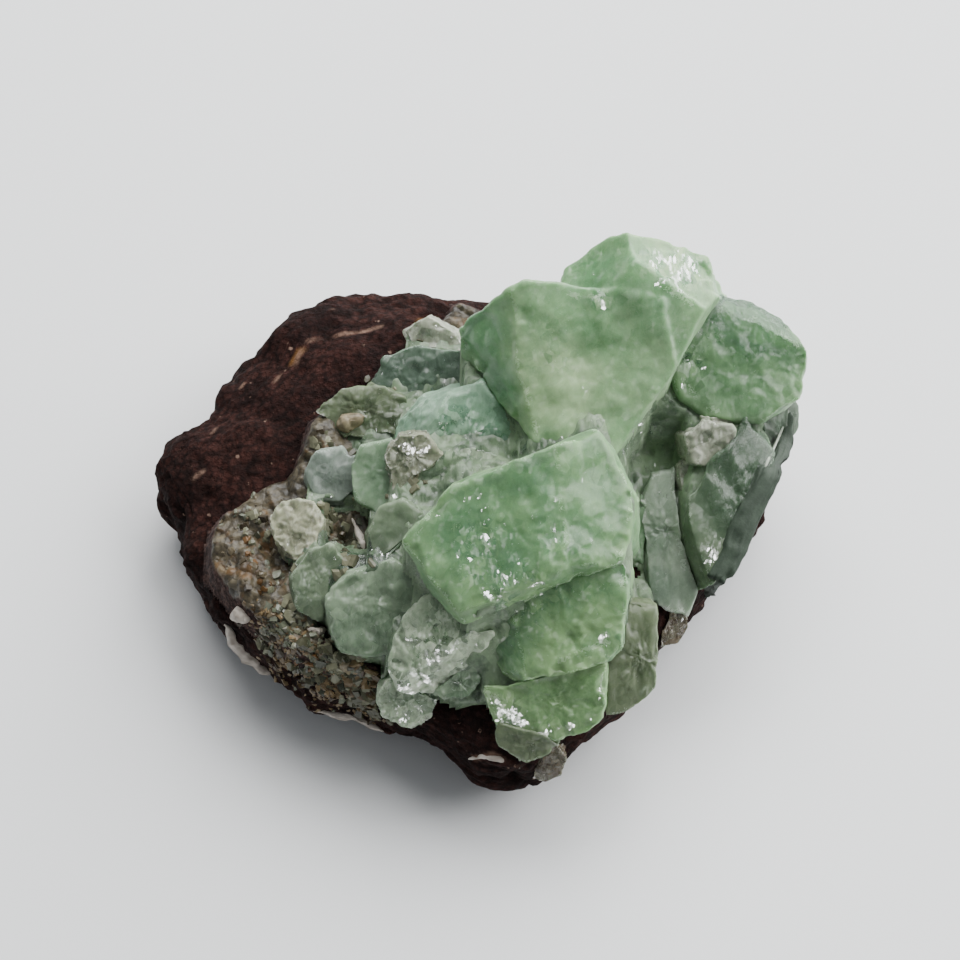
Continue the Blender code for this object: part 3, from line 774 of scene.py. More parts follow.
def crystal_finish(name, deep, pale, milkiness, absorbing, broken, seed, turn):
    """Clear crystal that passes into milky crystal through veils, under a sheen of small cleavage planes.

    The sheen is a mirror mixed in thinly. Its planes are cells tilted their own ways, and along the glint
    lines some of them are level with one another and throw the window's light straight back.
    """
    shader = Shader(name)
    deep, pale = mixed(MILK_SHARE, deep, MILK), mixed(MILK_SHARE, pale, MILK)
    edge = shader.attribute("edge")
    depth = shader.attribute("depth")
    shatter = shader.attribute("shatter")
    glint = shader.attribute("glint")
    cloud = shader.noise(CLOUDS * MM, seed, 3.0, 0.6, 0.8)
    veil = shader.noise(VEILS * MM, seed + 3.0, 4.0, 0.65, 1.2)
    feather = shader.noise(FEATHERS * MM, seed + 6.0, 3.0, 0.7, 1.0)
    chip = shader.cell_colours(CHIPS * MM, shader.moved(seed + 4.0))
    splinter = shader.cell_colours(SPLINTERS * MM, shader.moved(seed + 5.0, DRAWN_OUT, turn))
    own = shader.channel(splinter)
    shattered = shatter * cloud.between(0.30, 0.55)
    tone = depth + (cloud - 0.5) * 0.4 + (veil - 0.5) * 0.2 + (feather - 0.5) * 0.3
    tone = tone + (own - 0.5) * (0.06 + shattered * 0.4)
    tone = tone + (shader.channel(chip) - 0.5) * (0.05 + shattered * 0.8)
    tone = tone.between(-0.1, 1.1)
    body = shader.mix(tone, pale, deep)
    thread = veil.apart(0.5).between(0.02, 0.0) * feather.between(0.45, 0.6)
    crumbs = own.between(0.72, 0.9) * feather.between(0.45, 0.62) * (0.04 + shattered * 0.15)
    rime = (edge * feather.between(0.40, 0.60) * cloud.between(0.32, 0.55) + thread * 0.12 + crumbs).clipped()
    colour = shader.mix(rime, body, frosted(pale))
    bright = shader.channel(splinter, 1)
    torn = (own + shader.channel(chip, 1)) * 0.55 + (feather - 0.5) * 0.5 + glint * 0.42 + shattered * 0.25
    flash = torn.between(1.12, 1.17) * (0.10 + bright.between(0.2, 1.0))
    straight = shader.make("NewGeometry", {}, {}, "Normal")
    soft = shader.facing(straight, chip, 0.08 + shattered * 0.35)
    sharp = shader.facing(straight, chip, 0.67 + shattered * 0.67)
    sharp = shader.facing(sharp, splinter, 1.20 + shattered * 1.20, DRAWN_OUT)
    level = shader.mix(flash.between(0.0, 0.1), sharp, tuple(HALF_WAY))
    gloss = (0.20 + rime * 0.4 + (veil - 0.45) * 0.2).clipped()
    clear = shader.principled(
        Base_Color=shader.mix(0.6, body, CLEAR_TINT), Roughness=gloss, IOR=1.54, Transmission_Weight=1.0,
        Specular_IOR_Level=0.2, Normal=soft,
    )
    milky = shader.principled(
        Base_Color=colour, Roughness=0.4, Specular_IOR_Level=0.0, Subsurface_Weight=0.7,
        Subsurface_Radius=(0.8, 1.0, 0.8), Subsurface_Scale=(1.3 - broken) * MM, Normal=soft,
    )
    sheen = shader.principled(Base_Color=(1.0, 1.0, 1.0, 1.0), Roughness=0.10, Metallic=1.0, Normal=level)
    haze = (milkiness + 0.12 - tone * 0.35 + (veil - 0.5) * 0.4 + rime * 0.5).clipped()
    surface = shader.make("MixShader", {}, {0: haze, 1: clear, 2: milky})
    shine = (0.010 + shattered * 0.03 + flash * 0.50).clipped()
    surface = shader.make("MixShader", {}, {0: shine, 1: surface, 2: sheen})
    tint = tuple(0.30 + 0.65 * channel / max(pale) for channel in pale)
    volume = shader.make("VolumeAbsorption", {}, {"Color": (*tint, 1.0), "Density": absorbing})
    return shader.finish(surface, volume)


def heart_finish(name, deep, pale, seed):
    """The cloudy heart of a crystal: soft clouds and thin bright veils."""
    shader = Shader(name)
    cloud = shader.noise(2.5 * MM, seed + 20.0, 4.0, 0.6, 1.0)
    veil = shader.noise(1.2 * MM, seed + 21.0, 4.0, 0.6, 2.5)
    thread = veil.apart(0.5).between(0.03, 0.0)
    body = shader.mix(cloud.between(0.2, 0.6), deep, pale)
    body = shader.mix(thread * 0.5, body, frosted(pale))
    return shader.finish(shader.principled(Base_Color=body, Roughness=0.6, Specular_IOR_Level=0.1))


# Colours of the basalt's grains, sand, cracks, pits, flecks, stains and pale marks.
ROCK_GRAIN = (0.082, 0.035, 0.031)
ROCK_SAND = (0.110, 0.060, 0.054)
ROCK_CRACK = (0.006, 0.003, 0.003)
ROCK_PIT = (0.004, 0.0025, 0.002)
ROCK_FLECK = (0.26, 0.17, 0.13)
ROCK_STAIN = (0.16, 0.075, 0.022)
ROCK_MARK = (0.24, 0.15, 0.11)


def rock_finish(colours):
    """Dark grained basalt with weathered pebbles, tan flecks and a rusty stain."""
    shader = Shader("basalt")
    tone = shader.noise(6.0 * MM, 1.0, 4.0, 0.6)
    grain = shader.noise(0.45 * MM, 2.0, 4.0, 0.7)
    pebbles = shader.cells(0.6 * MM, 3.0)
    sand = shader.noise(0.16 * MM, 7.0, 2.0, 0.7)
    pit = shader.attribute("pit")
    pale_mark = shader.attribute("mark")
    rust = shader.attribute("rust")
    body = shader.mix(tone.between(0.3, 0.7), colours.rock_dark, colours.rock_light)
    body = shader.mix(grain.between(0.5, 0.8) * 0.5, body, ROCK_GRAIN)
    body = shader.mix(sand.between(0.6, 0.75) * 0.35, body, ROCK_SAND)
    body = shader.mix(pebbles.between(0.4, 0.75) * 0.6, body, ROCK_CRACK)
    body = shader.mix(pit * 0.85, body, ROCK_PIT)
    fleck = shader.cells(1.5 * MM, 5.0).between(0.22, 0.09) * shader.noise(0.8 * MM, 6.0).between(0.56, 0.64)
    body = shader.mix(fleck * 0.8, body, ROCK_FLECK)
    body = shader.mix(rust * (0.4 + tone * 0.8), body, ROCK_STAIN)
    body = shader.mix(pale_mark * (0.3 + grain * 0.8), body, ROCK_MARK)
    relief = grain * 0.9 + pebbles * 0.5 + sand * 0.4
    normal = shader.bump(relief, 0.9, 0.45 * MM)
    gloss = (0.95 - grain * 0.35).clipped()
    surface = shader.principled(Base_Color=body, Roughness=gloss, Specular_IOR_Level=0.08, Normal=normal)
    return shader.finish(surface)


# The size of the druse's finer grains in mm.
DRUSE_GRAIN = 0.8

# Colours of its moss, its pale and dim grains, the gaps between them and the bare rock at its rim.
DRUSE_MOSS = (0.085, 0.102, 0.068)
DRUSE_PALE = (0.220, 0.190, 0.125)
DRUSE_DIM = (0.020, 0.015, 0.010)
DRUSE_GAP = (0.014, 0.011, 0.008)
DRUSE_BARE = (0.075, 0.042, 0.034)


def druse_finish(colours):
    """Fine-grained druse: brown, grey and mossy grains, with rusty and pale ones among them."""
    shader = Shader("druse")
    tone = shader.noise(2.2 * MM, 11.0, 4.0, 0.65)
    hue = shader.noise(3.0 * MM, 13.0, 3.0)
    fine = shader.noise(0.5 * MM, 14.0, 3.0, 0.65)
    moss = shader.attribute("moss")
    grain = shader.cells(DRUSE_GRAIN * MM, 12.0)
    own = shader.own_value(grain)
    light = (tone + (fine - 0.5) * 0.6).between(0.35, 0.65)
    body = shader.mix(light, colours.druse_dark, colours.druse_light)
    body = shader.mix(hue.between(0.52, 0.66) * 0.6, body, colours.druse_rust)
    body = shader.mix((moss + (hue - 0.5) * 0.8).between(0.25, 0.75) * 0.8, body, DRUSE_MOSS)
    body = shader.mix(own.between(0.75, 1.0) * 0.4, body, DRUSE_PALE)
    body = shader.mix(own.between(0.3, 0.0) * 0.4, body, DRUSE_DIM)
    body = shader.mix(grain.between(0.35, 0.75) * 0.3, body, DRUSE_GAP)
    rim = (shader.attribute("rim") + (tone - 0.5) * 0.8).between(0.3, 0.7)
    bare = shader.mix(fine.between(0.4, 0.65), colours.rock_dark, DRUSE_BARE)
    body = shader.mix(rim, body, bare)
    here = shader.moved(12.0)
    planes = shader.tilted(shader.cell_colours(DRUSE_GRAIN * MM, here), here, DRUSE_GRAIN * MM)
    normal = shader.bump(planes * 0.7 - grain * 0.4 + fine * 0.3, 0.8, 0.35 * MM)
    gloss = (0.20 + tone * 0.4 + rim * 0.6).clipped()
    surface = shader.principled(Base_Color=body, Roughness=gloss, Specular_IOR_Level=0.35, Normal=normal)
    return shader.finish(surface)


def block_finish(name, dark, light, gloss):
    """Small blocks, each of its own shade between two colours."""
    shader = Shader(name)
    shade = shader.attribute("shade")
    mottle = shader.noise(0.5 * MM, 31.0, 3.0)
    body = shader.mix((shade + (mottle - 0.5) * 0.5).clipped(), dark, light)
    normal = shader.bump(mottle, 0.3, 0.15 * MM)
    rough = (gloss + (mottle - 0.5) * 0.2).clipped()
    surface = shader.principled(Base_Color=body, Roughness=rough, Specular_IOR_Level=0.3, Normal=normal)
    return shader.finish(surface)


# ---------------------------------------------------------------------------------------------------------
# Crystals


def own_axes(points):
    """The directions in which a crystal spreads, from its longest to its shortest, as the rows of a turn."""
    spread = points - points.mean(axis=0)
    axes = np.linalg.svd(spread, full_matrices=False)[2]
    return axes if np.linalg.det(axes) > 0 else axes * np.array([[1], [1], [-1]])


def crystal_points(node, sizes, divisions, chip, broken, seed):
    """A crystal's surface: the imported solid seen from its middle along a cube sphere's directions.

    The directions are stretched to the solid's box. Grown facets keep their place and joints to other
    pieces run on into them. The whole is bent by slow noise, its edges are relaxed, bitten and nicked by
    cells near them, and noise lifts the surface along its normals, some of it drawn out into striations
    along the crystal. Gives the points, quads, bruising and distances from the sharp edges in mm.
    """
    triangles = solid_triangles(node)
    centre = middle_of(triangles)
    size = triangles.max(axis=(0, 1)) - triangles.min(axis=(0, 1))
    sphere, quads = cube_sphere(divisions)
    directions = unit(sphere * size)
    distance, face = reach(centre, directions, triangles)
    grown = outer_faces(triangles)[face]
    distance = distance + np.where(grown, sizes.skin, sizes.overlap) * MM
    points = centre + directions * distance[:, None]
    average = neighbours(quads, len(points))
    from_edge = line_distance(points, sharp_edges(triangles)) / MM
    points = relaxed(points, average, sizes.rounding + WORN_CRYSTALS.get(node, 0))
    bend = np.stack([rough_noise(directions, 0.8, seed + 30 + k, 2) for k in range(3)], axis=1)
    bend += 0.4 * np.stack([rough_noise(directions, 0.25, seed + 33 + k, 2) for k in range(3)], axis=1)
    points += sizes.wobble * size.mean() * bend
    normals = vertex_normals(points, quads)
    bite = broken_planes(points, 2.2 * MM, seed + 40).clip(0) * smooth_step(2.2, 0.2, from_edge)
    nick = smooth_step(0.65, 0.2, cells(points, 0.8 * MM, seed + 43)[0]) * smooth_step(0.9, 0.1, from_edge)
    drawn_out = (points - centre) @ own_axes(points).T * np.array([0.15, 1.0, 1.0])
    lift = -chip * MM * (1.2 * bite + 0.2 * nick) + 0.16 * MM * broken_planes(points, 4.5 * MM, seed + 41)
    lift += 0.10 * MM * rough_noise(points, 3.6 * MM, seed + 1, 2)
    lift += 0.03 * MM * rough_noise(drawn_out, 0.9 * MM, seed + 3, 2)
    lift += (0.04 + broken * 0.24) * MM * broken_planes(points, 1.8 * MM, seed + 2)
    lift += (0.02 + broken * 0.10) * MM * broken_planes(points, 0.8 * MM, seed + 6)
    points = relaxed(points + normals * lift[:, None], average, 1)
    patchy = smooth_step(-0.3, 0.8, rough_noise(points, 2.0 * MM, seed + 9))
    edge = smooth_step(0.30, 0.05, from_edge) * patchy * 0.5
    return points, quads, np.clip(edge, 0.0, 1.0), from_edge


# The least width in mm of a line of frost or glints, so that it isn't lost between points.
LEAST_LINE = 0.42


def line_values(points, lines, sight):
    """1 on some lines of columns and rows, fading to 0 a line's width away from it."""
    value = np.zeros(len(points))
    for route, width in lines:
        places = sight.places(route)
        value = np.maximum(value, near_line(points, places, max(width, LEAST_LINE) * MM))
    return value


def zone_sum(points, zones, sight):
    """Sum over zones of amount times a soft ball: 1 within a quarter of its radius, falling to 0 at it."""
    total = np.zeros(len(points))
    for column, row, radius, amount in zones:
        hit = sight.at(column, row)
        if hit:
            away = np.linalg.norm(points - np.array(hit[0]), axis=1)
            total += amount * smooth_step(1.0, 0.25, away / (radius * MM))
    return total


# The most of a crystal's half width that its clear skin takes up.
DEEPEST_SKIN = 0.45


def heart_points(points, divisions, skin, seed):
    """A cloudy heart: the surface drawn in towards its middle by the clear skin and by noise, and relaxed.

    It keeps every other point of the surface's cube sphere each way: those with even places on the cube,
    where a direction d lies at n/2 * (1 + 4/pi * atan(d / largest part of d)). Their order is that of a cube
    sphere of half the divisions, whose quads join them.
    """
    directions = cube_sphere(divisions)[0]
    cube = directions / np.abs(directions).max(axis=1, keepdims=True)
    place = np.rint(divisions / 2 * (1.0 + 4 / math.pi * np.arctan(cube))).astype(int)
    points = points[(place % 2 == 0).all(axis=1)]
    quads = cube_sphere(divisions // 2)[1]
    middle = points.mean(axis=0)
    sunk = skin * MM * (1.1 + 0.5 * rough_noise(points, 3.0 * MM, seed + 13))
    share = np.minimum(sunk / np.linalg.norm(points - middle, axis=1), DEEPEST_SKIN)
    drawn_in = middle + (points - middle) * (1.0 - share[:, None])
    return relaxed(drawn_in, neighbours(quads, len(points)), 1), quads


# How far apart two crystals' seeds lie, and how far a step of the seed moves their veils in metres.
SEED_STEP = 10
SEED_SHIFT = 0.013


def make_crystals(names, sizes):
    """Each crystal with its values at its points, its finish and, where its skin is clear, its heart."""
    sight = Sight(frame["nodes"][name] for name in CRYSTAL_LOOKS)
    for name in names:
        finish, divisions, chip, broken, skin = CRYSTAL_LOOKS[name]
        slot, deep, pale, milkiness, absorbing = CRYSTAL_FINISHES[finish]
        seed = SEED_STEP * list(CRYSTAL_LOOKS).index(name)
        points, quads, edge, from_edge = crystal_points(name, sizes, divisions, chip, broken, seed)
        depth = 0.45 + 0.12 * rough_noise(points, 6.0 * MM, seed + 11)
        depth = depth - 0.12 * smooth_step(1.5, 0.0, from_edge)
        depth = np.clip(depth + zone_sum(points, CRYSTAL_ZONES.get(name, ()), sight), 0.0, 1.0)
        shatter = np.clip(0.5 * broken + zone_sum(points, SHATTER_ZONES.get(name, ()), sight), 0.0, 1.0)
        ragged = smooth_step(-0.5, 0.6, rough_noise(points, 0.6 * MM, seed + 15))
        edge = np.clip(edge + 0.8 * line_values(points, FROST_LINES.get(name, ()), sight) * ragged, 0.0, 1.0)
        glint = line_values(points, GLINT_LINES.get(name, ()), sight)
        turn = Matrix(own_axes(points)).to_euler()
        look = (deep, pale, milkiness, absorbing, broken)
        surface = crystal_finish(name + "_finish", *look, SEED_SHIFT * seed, turn)
        attributes = {"edge": edge, "depth": depth, "shatter": shatter, "glint": glint}
        title = name.replace("crystal_", "")
        piece = mesh_object(title + "_crystal", points, quads, surface, attributes)
        add_piece(piece, slot, name)
        if skin:
            cloudy = heart_finish(name + "_cloud", deep, pale, SEED_SHIFT * seed)
            heart = heart_points(points, divisions, skin, seed)
            add_piece(mesh_object(title + "_heart", *heart, cloudy), slot)


# ---------------------------------------------------------------------------------------------------------
# Rock and druse


def near_line(points, places, width):
    """1 on a line through some places and 0 a width away from it, by each point's distance to its legs."""
    return smooth_step(1.0, 0.3, line_distance(points, zip(places[:-1], places[1:])) / width)


# Mossy zones of the druse: column, row, radius in mm, amount.
DRUSE_ZONES = [
    (320, 600, 5.0, 0.9), (345, 660, 4.0, 0.8), (350, 560, 5.0, 0.6), (380, 690, 4.0, 0.8),
    (330, 480, 4.0, 0.7), (390, 360, 4.0, 0.7), (430, 330, 4.0, 0.4), (290, 560, 4.0, 0.3),
]

# Marks on the rock: lines of columns and rows, with a width in mm.
PALE_STREAKS = [
    ([(308, 340), (325, 336), (346, 333), (362, 331), (380, 327)], 0.45), ([(276, 380), (279, 376)], 0.35),
    ([(240, 387), (243, 384)], 0.3), ([(193, 478), (203, 470)], 0.4),
    ([(470, 760), (492, 754), (518, 766)], 0.4),
    ([(295, 362), (300, 350)], 0.6), ([(212, 432), (216, 428)], 0.3), ([(330, 312), (334, 310)], 0.3),
]
RUST_STAINS = [([(292, 360), (300, 350)], 0.8), ([(425, 322), (436, 330)], 1.2)]


def rock_points(divisions):
    """The rock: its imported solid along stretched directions, broken into slabs, lumps and pebbles.

    The surface sinks along its normals by planes of fracture in large and middling cells, by rough noise
    and by the cracks between small cells. The pit value is how deep a point lies in those cracks.
    """
    triangles = solid_triangles("basalt_rock")
    centre = middle_of(triangles)
    half = (triangles.max(axis=(0, 1)) - triangles.min(axis=(0, 1))) / 2
    sphere, quads = cube_sphere(divisions)
    directions = unit(sphere * half)
    points = centre + directions * reach(centre, directions, triangles)[0][:, None]
    average = neighbours(quads, len(points))
    points = relaxed(points, average, 3)
    normals = vertex_normals(points, quads)
    bent = points + 0.6 * MM * np.stack([rough_noise(points, 2.5 * MM, 40 + k) for k in range(3)], axis=1)
    near, next_near, _ = cells(bent, 1.5 * MM, 7)
    crack = smooth_step(0.30, 0.0, next_near - near)
    large_near, large_next, _ = cells(bent, 6.0 * MM, 17)
    steep = 1.0 + 1.5 * smooth_step(0.9, 0.2, normals[:, 2])
    lift = 0.30 * MM * steep * (broken_planes(bent, 6.5 * MM, 3) - 0.1)
    lift += 0.20 * MM * steep * broken_planes(bent, 2.8 * MM, 4)
    lift += 0.30 * MM * rough_noise(points, 3.0 * MM, 5)
    lift += 0.12 * MM * rough_noise(points, 0.9 * MM, 6)
    lift -= 0.08 * MM * crack + 0.12 * MM * steep * smooth_step(0.12, 0.0, large_next - large_near)
    above = smooth_step(0.0, 1.0 * MM, points[:, 2])
    points = relaxed(points + normals * (lift * above)[:, None], average, 1)
    points[:, 2] = np.maximum(points[:, 2], 0.0)
    pit = np.clip(0.7 * crack + smooth_step(0.0, -1.0 * MM, lift) * 0.5, 0.0, 1.0)
    return points, quads, pit


ROCK_DIVISIONS = 128


def make_rock(colours):
    """The rock with its pale marks and rusty stains, lines whose strength noise makes ragged."""
    points, quads, pit = rock_points(ROCK_DIVISIONS)
    sight = Sight([frame["nodes"]["basalt_rock"]])
    mark = np.zeros(len(points))
    rust = np.zeros(len(points))
    for values, marks in ((mark, PALE_STREAKS), (rust, RUST_STAINS)):
        for route, width in marks:
            places = sight.places(route)
            if len(places) > 1:
                values += near_line(points, places, width * MM)
    ragged = 0.75 + 0.7 * rough_noise(points, 0.8 * MM, 21)
    attributes = {"pit": pit, "mark": np.clip(mark * ragged, 0, 1), "rust": np.clip(rust * ragged, 0, 1)}
    add_piece(mesh_object("rock", points, quads, rock_finish(colours), attributes), "basalt", "basalt_rock")


def widest(heights, cells_wide):
    """Each cell's highest neighbour within a square, by taking the larger of shifted copies."""
    for axis in (0, 1):
        best = heights
        for shift in range(1, cells_wide + 1):
            for way in (-shift, shift):
                moved = np.roll(heights, way, axis=axis)
                best = np.maximum(best, moved)
        heights = best
    return heights


def height_map(sight, spacing, bounds):
    """Heights of what lies under a grid of points, with -1 where nothing does."""
    xs = np.arange(bounds[0][0], bounds[1][0], spacing)
    ys = np.arange(bounds[0][1], bounds[1][1], spacing)
    down = Vector((0, 0, -1))
    hits = (sight.cast(Vector((x, y, 0.1)), down) for x in xs for y in ys)
    heights = np.array([hit[0].z if hit else -1.0 for hit in hits]).reshape(len(xs), len(ys))
    return xs, ys, heights


def grid_points(xs, ys, heights):
    """The points of a height map, row by row."""
    return np.stack(np.broadcast_arrays(xs[:, None], ys[None, :], heights), axis=-1).reshape(-1, 3)


def soft_mask(mask, cells_wide):
    """A mask blurred by the mean of its shifted copies along each axis."""
    for axis in (0, 1):
        shifts = range(-cells_wide, cells_wide + 1)
        mask = sum(np.roll(mask, shift, axis=axis) for shift in shifts) / len(shifts)
    return mask


def wide_bounds():
    """Corners in plan of the specimen's box, with a margin round it."""
    margin = 3 * MM
    low, high = CAD_BOUNDS
    return (low[0] - margin, low[1] - margin), (high[0] + margin, high[1] + margin)


def corners_of(grid):
    """The four corners of every cell of a grid, in order round the cell."""
    return np.stack([grid[:-1, :-1], grid[1:, :-1], grid[1:, 1:], grid[:-1, 1:]], axis=-1).reshape(-1, 4)


def sheet_of(xs, ys, tops, floor, inside):
    """A closed sheet between a grid of tops and one of floors, over the cells whose corners are all inside.

    A side that only one cell uses is a border, and a wall stands on it.
    """
    points = np.concatenate([grid_points(xs, ys, tops), grid_points(xs, ys, floor)])
    up = corners_of(np.arange(tops.size).reshape(tops.shape))[corners_of(inside).all(axis=1)]
    starts, ends = up.ravel(), np.roll(up, -1, axis=1).ravel()
    forward = starts * len(points) + ends
    backward = ends * len(points) + starts
    border = ~np.isin(forward, backward)
    a, b = starts[border], ends[border]
    below = tops.size
    walls = np.stack([a, a + below, b + below, b], axis=1)
    faces = np.concatenate([up, up[:, ::-1] + below, walls])
    used, packed = np.unique(faces, return_inverse=True)
    return points[used], packed.reshape(-1, 4)


# Painted shade and light on the fine crystal: zones that darken its colour into the shaded valleys between
# the crystals (amount above 0)
# # or lighten it where a valley lies in shadow (below 0): column, row, radius in mm, amount.
VALLEY_SHADE_AND_LIGHT_ZONES = [(640, 575, 6.0, 1.0), (650, 620, 4.0, 0.6), (655, 445, 4.0, -0.5), (330, 560, 8.0, 0.3)]

# Zones where the fine crystal grows over the edges of the crystals: column, row, radius in mm, amount.
OVERGROWN_ZONES = [
    (290, 570, 8.0, 1.0), (350, 500, 8.0, 1.0), (360, 640, 9.0, 1.0), (430, 700, 7.0, 0.8),
    (390, 560, 6.0, 0.8), (420, 380, 6.0, 0.8), (450, 440, 4.0, 0.5), (400, 450, 6.0, 0.9),
    (690, 600, 4.0, 0.6), (670, 470, 3.0, 0.6),
]


# The spacing in mm of the fine crystal's height map, and how many of its cells a bridge reaches across.
VALLEY_SPACING = 0.3
BRIDGED_CELLS = 5


def make_intergrowth():
    """Fine crystal that fills the valleys between the crystals.

    The crystals' height map is widened and then narrowed by the same reach, which bridges its valleys, and
    the filling lies a little under that, roughened by planes of fracture. In the overgrown zones it rises
    over the crystals' edges where it is roughest.
    """
    spacing = VALLEY_SPACING * MM
    sight = Sight(frame["nodes"][name] for name in CRYSTAL_LOOKS)
    xs, ys, heights = height_map(sight, spacing, wide_bounds())
    rock = height_map(Sight([frame["nodes"]["basalt_rock"]]), spacing, wide_bounds())[2]
    bridged = -widest(-widest(heights, BRIDGED_CELLS), BRIDGED_CELLS)
    inside = (bridged > rock + 1 * MM) & (-widest(-rock, BRIDGED_CELLS) > 4 * MM)
    grid = grid_points(xs, ys, bridged)
    over = np.clip(zone_sum(grid, OVERGROWN_ZONES, sight), 0.0, 1.0).reshape(heights.shape)
    valley = smooth_step(0.2 * MM, 1.0 * MM, bridged - heights)
    inside &= (widest(valley, 4) > 0.0) | ((widest(valley, 9) > 0.0) & (over > 0.3))
    rough = 0.45 * broken_planes(grid, 2.0 * MM, 61) + 0.25 * rough_noise(grid, 2.0 * MM, 62)
    rough = (rough + 0.20 * broken_planes(grid, 0.9 * MM, 65)).reshape(heights.shape)
    tops = bridged - (0.8 - 0.3 * over - rough) * MM
    sunk = heights - (1.2 - over * (0.8 + 1.2 * rough)) * MM
    tops = np.where(heights > bridged - 0.2 * MM, np.minimum(tops, sunk), tops)
    floor = np.maximum(tops - 3 * MM, 3 * MM)
    points, quads = sheet_of(xs, ys, np.maximum(tops, floor + 0.1 * MM), floor, inside)
    slot, deep, pale, milkiness, absorbing = CRYSTAL_FINISHES["fine"]
    look = (deep, pale, milkiness, absorbing, 0.9)
    surface = crystal_finish("intergrowth_finish", *look, 3.3, (0.0, 0.0, 0.6))
    # The depth carries painted shade and light from the valley zones: darker in the shaded valleys, lighter
    # in one shadowed spot.
    depth = 0.4 + 0.3 * rough_noise(points, 3.0 * MM, 63) + zone_sum(points, VALLEY_SHADE_AND_LIGHT_ZONES, sight)
    depth = np.clip(depth, 0.0, 1.0)
    shatter = np.clip(0.4 + 0.4 * rough_noise(points, 3.0 * MM, 64), 0.0, 1.0)
    none = np.zeros(len(points))
    attributes = {"depth": depth, "shatter": shatter, "edge": none, "glint": none}
    add_piece(mesh_object("intergrowth", points, quads, surface, attributes), slot)


# The spacing in mm of the druse's height map.
DRUSE_SPACING = 0.22


def make_druse_crust(colours):
    """The druse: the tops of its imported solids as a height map, broken into grains, and sunk at its rim."""
    spacing = DRUSE_SPACING * MM
    nodes = ("druse_crust", "druse_patch_1", "druse_patch_2")
    sight = Sight(frame["nodes"][node] for node in nodes)
    xs, ys, heights = height_map(sight, spacing, wide_bounds())
    covered = heights > 0
    grid = grid_points(xs, ys, heights)
    near, next_near, _ = cells(grid, 0.9 * MM, 71)
    grains = 0.15 * (1.0 - near) - 0.10 * smooth_step(0.2, 0.0, next_near - near)
    grains += 0.50 * broken_planes(grid, 2.2 * MM, 72) + 0.40 * rough_noise(grid, 2.4 * MM, 73)
    tops = heights + (grains.reshape(heights.shape) - 0.15) * MM
    rim = soft_mask(covered.astype(float), 6)
    tops = np.maximum(tops - 2.2 * MM * smooth_step(1.0, 0.5, rim), 1.0 * MM)
    floor = np.maximum(tops - 1.5 * MM, 0.5 * MM)
    points, quads = sheet_of(xs, ys, tops, floor, covered)
    moss = np.clip(zone_sum(points, DRUSE_ZONES, sight), 0.0, 1.0)
    wide_rim = soft_mask(covered.astype(float), 11)
    column = np.round((points[:, 0] - xs[0]) / spacing).astype(int)
    row = np.round((points[:, 1] - ys[0]) / spacing).astype(int)
    steep = smooth_step(0.6, 0.25, vertex_normals(points, quads)[:, 2])
    attributes = {"moss": moss, "rim": np.maximum(smooth_step(0.85, 0.55, wide_rim[column, row]), steep)}
    add_piece(mesh_object("druse", points, quads, druse_finish(colours), attributes), "druse", *nodes)


# ---------------------------------------------------------------------------------------------------------
# Blocks


def blocks(places, axes, sizes, seed):
    """Small broken blocks: for each, a coarse cube sphere held in by six sides and four cut corners.

    A direction d runs to the nearest side, at the least of h / (m . d) over sides m with offsets h, and
    the block is then stretched to its sizes, turned to its own axis and set in its place.
    """
    rng = np.random.default_rng(seed)
    directions, quads = cube_sphere(2)
    count = len(places)
    square = np.concatenate([np.eye(3), -np.eye(3)])
    sides = unit(square + rng.normal(0.0, 0.16, (count, 6, 3)))
    cuts = unit(rng.normal(size=(count, 4, 3)))
    planes = np.concatenate([sides, cuts], axis=1)
    offsets = np.concatenate([rng.uniform(0.75, 1.0, (count, 6)), rng.uniform(0.8, 1.2, (count, 4))], axis=1)
    slope = np.einsum("nkc,vc->nkv", planes, directions)
    reached = np.where(slope > 0.05, offsets[..., None] / np.maximum(slope, 0.05), 9.0).min(axis=1)
    points = directions[None] * np.minimum(reached, 1.6)[..., None] * sizes[:, None, :]
    axes = unit(axes)
    across = unit(np.cross(rng.normal(size=(count, 3)), axes))
    turns = np.stack([across, np.cross(axes, across), axes], axis=1)
    points = np.einsum("nvc,ncd->nvd", points, turns) + places[:, None, :]
    faces = quads[None] + np.arange(count)[:, None, None] * len(directions)
    shade = np.repeat(rng.uniform(0.0, 1.0, count), len(directions))
    return points.reshape(-1, 3), faces.reshape(-1, 4), shade


# The kinds of block: record slot, dark and light colours, gloss, and what they grow on.
BLOCK_KINDS = {
    "brown": ("druse", (0.025, 0.018, 0.010), (0.110, 0.090, 0.055), 0.30, ("druse",)),
    "grey": ("druse", (0.050, 0.058, 0.042), (0.180, 0.190, 0.140), 0.20, ("druse",)),
    "rust": ("druse", (0.060, 0.030, 0.008), (0.180, 0.100, 0.045), 0.35, ("druse",)),
    "golden": ("druse", (0.034, 0.022, 0.010), (0.230, 0.165, 0.085), 0.30, ("druse", "rock")),
    "facet": (
        "teal_crystal", (0.048, 0.048, 0.029), (0.220, 0.220, 0.145), 0.15, ("druse", "rock", "intergrowth"),
    ),
    "mossy": ("druse", (0.034, 0.038, 0.025), (0.150, 0.165, 0.110), 0.25, ("druse", "rock")),
}

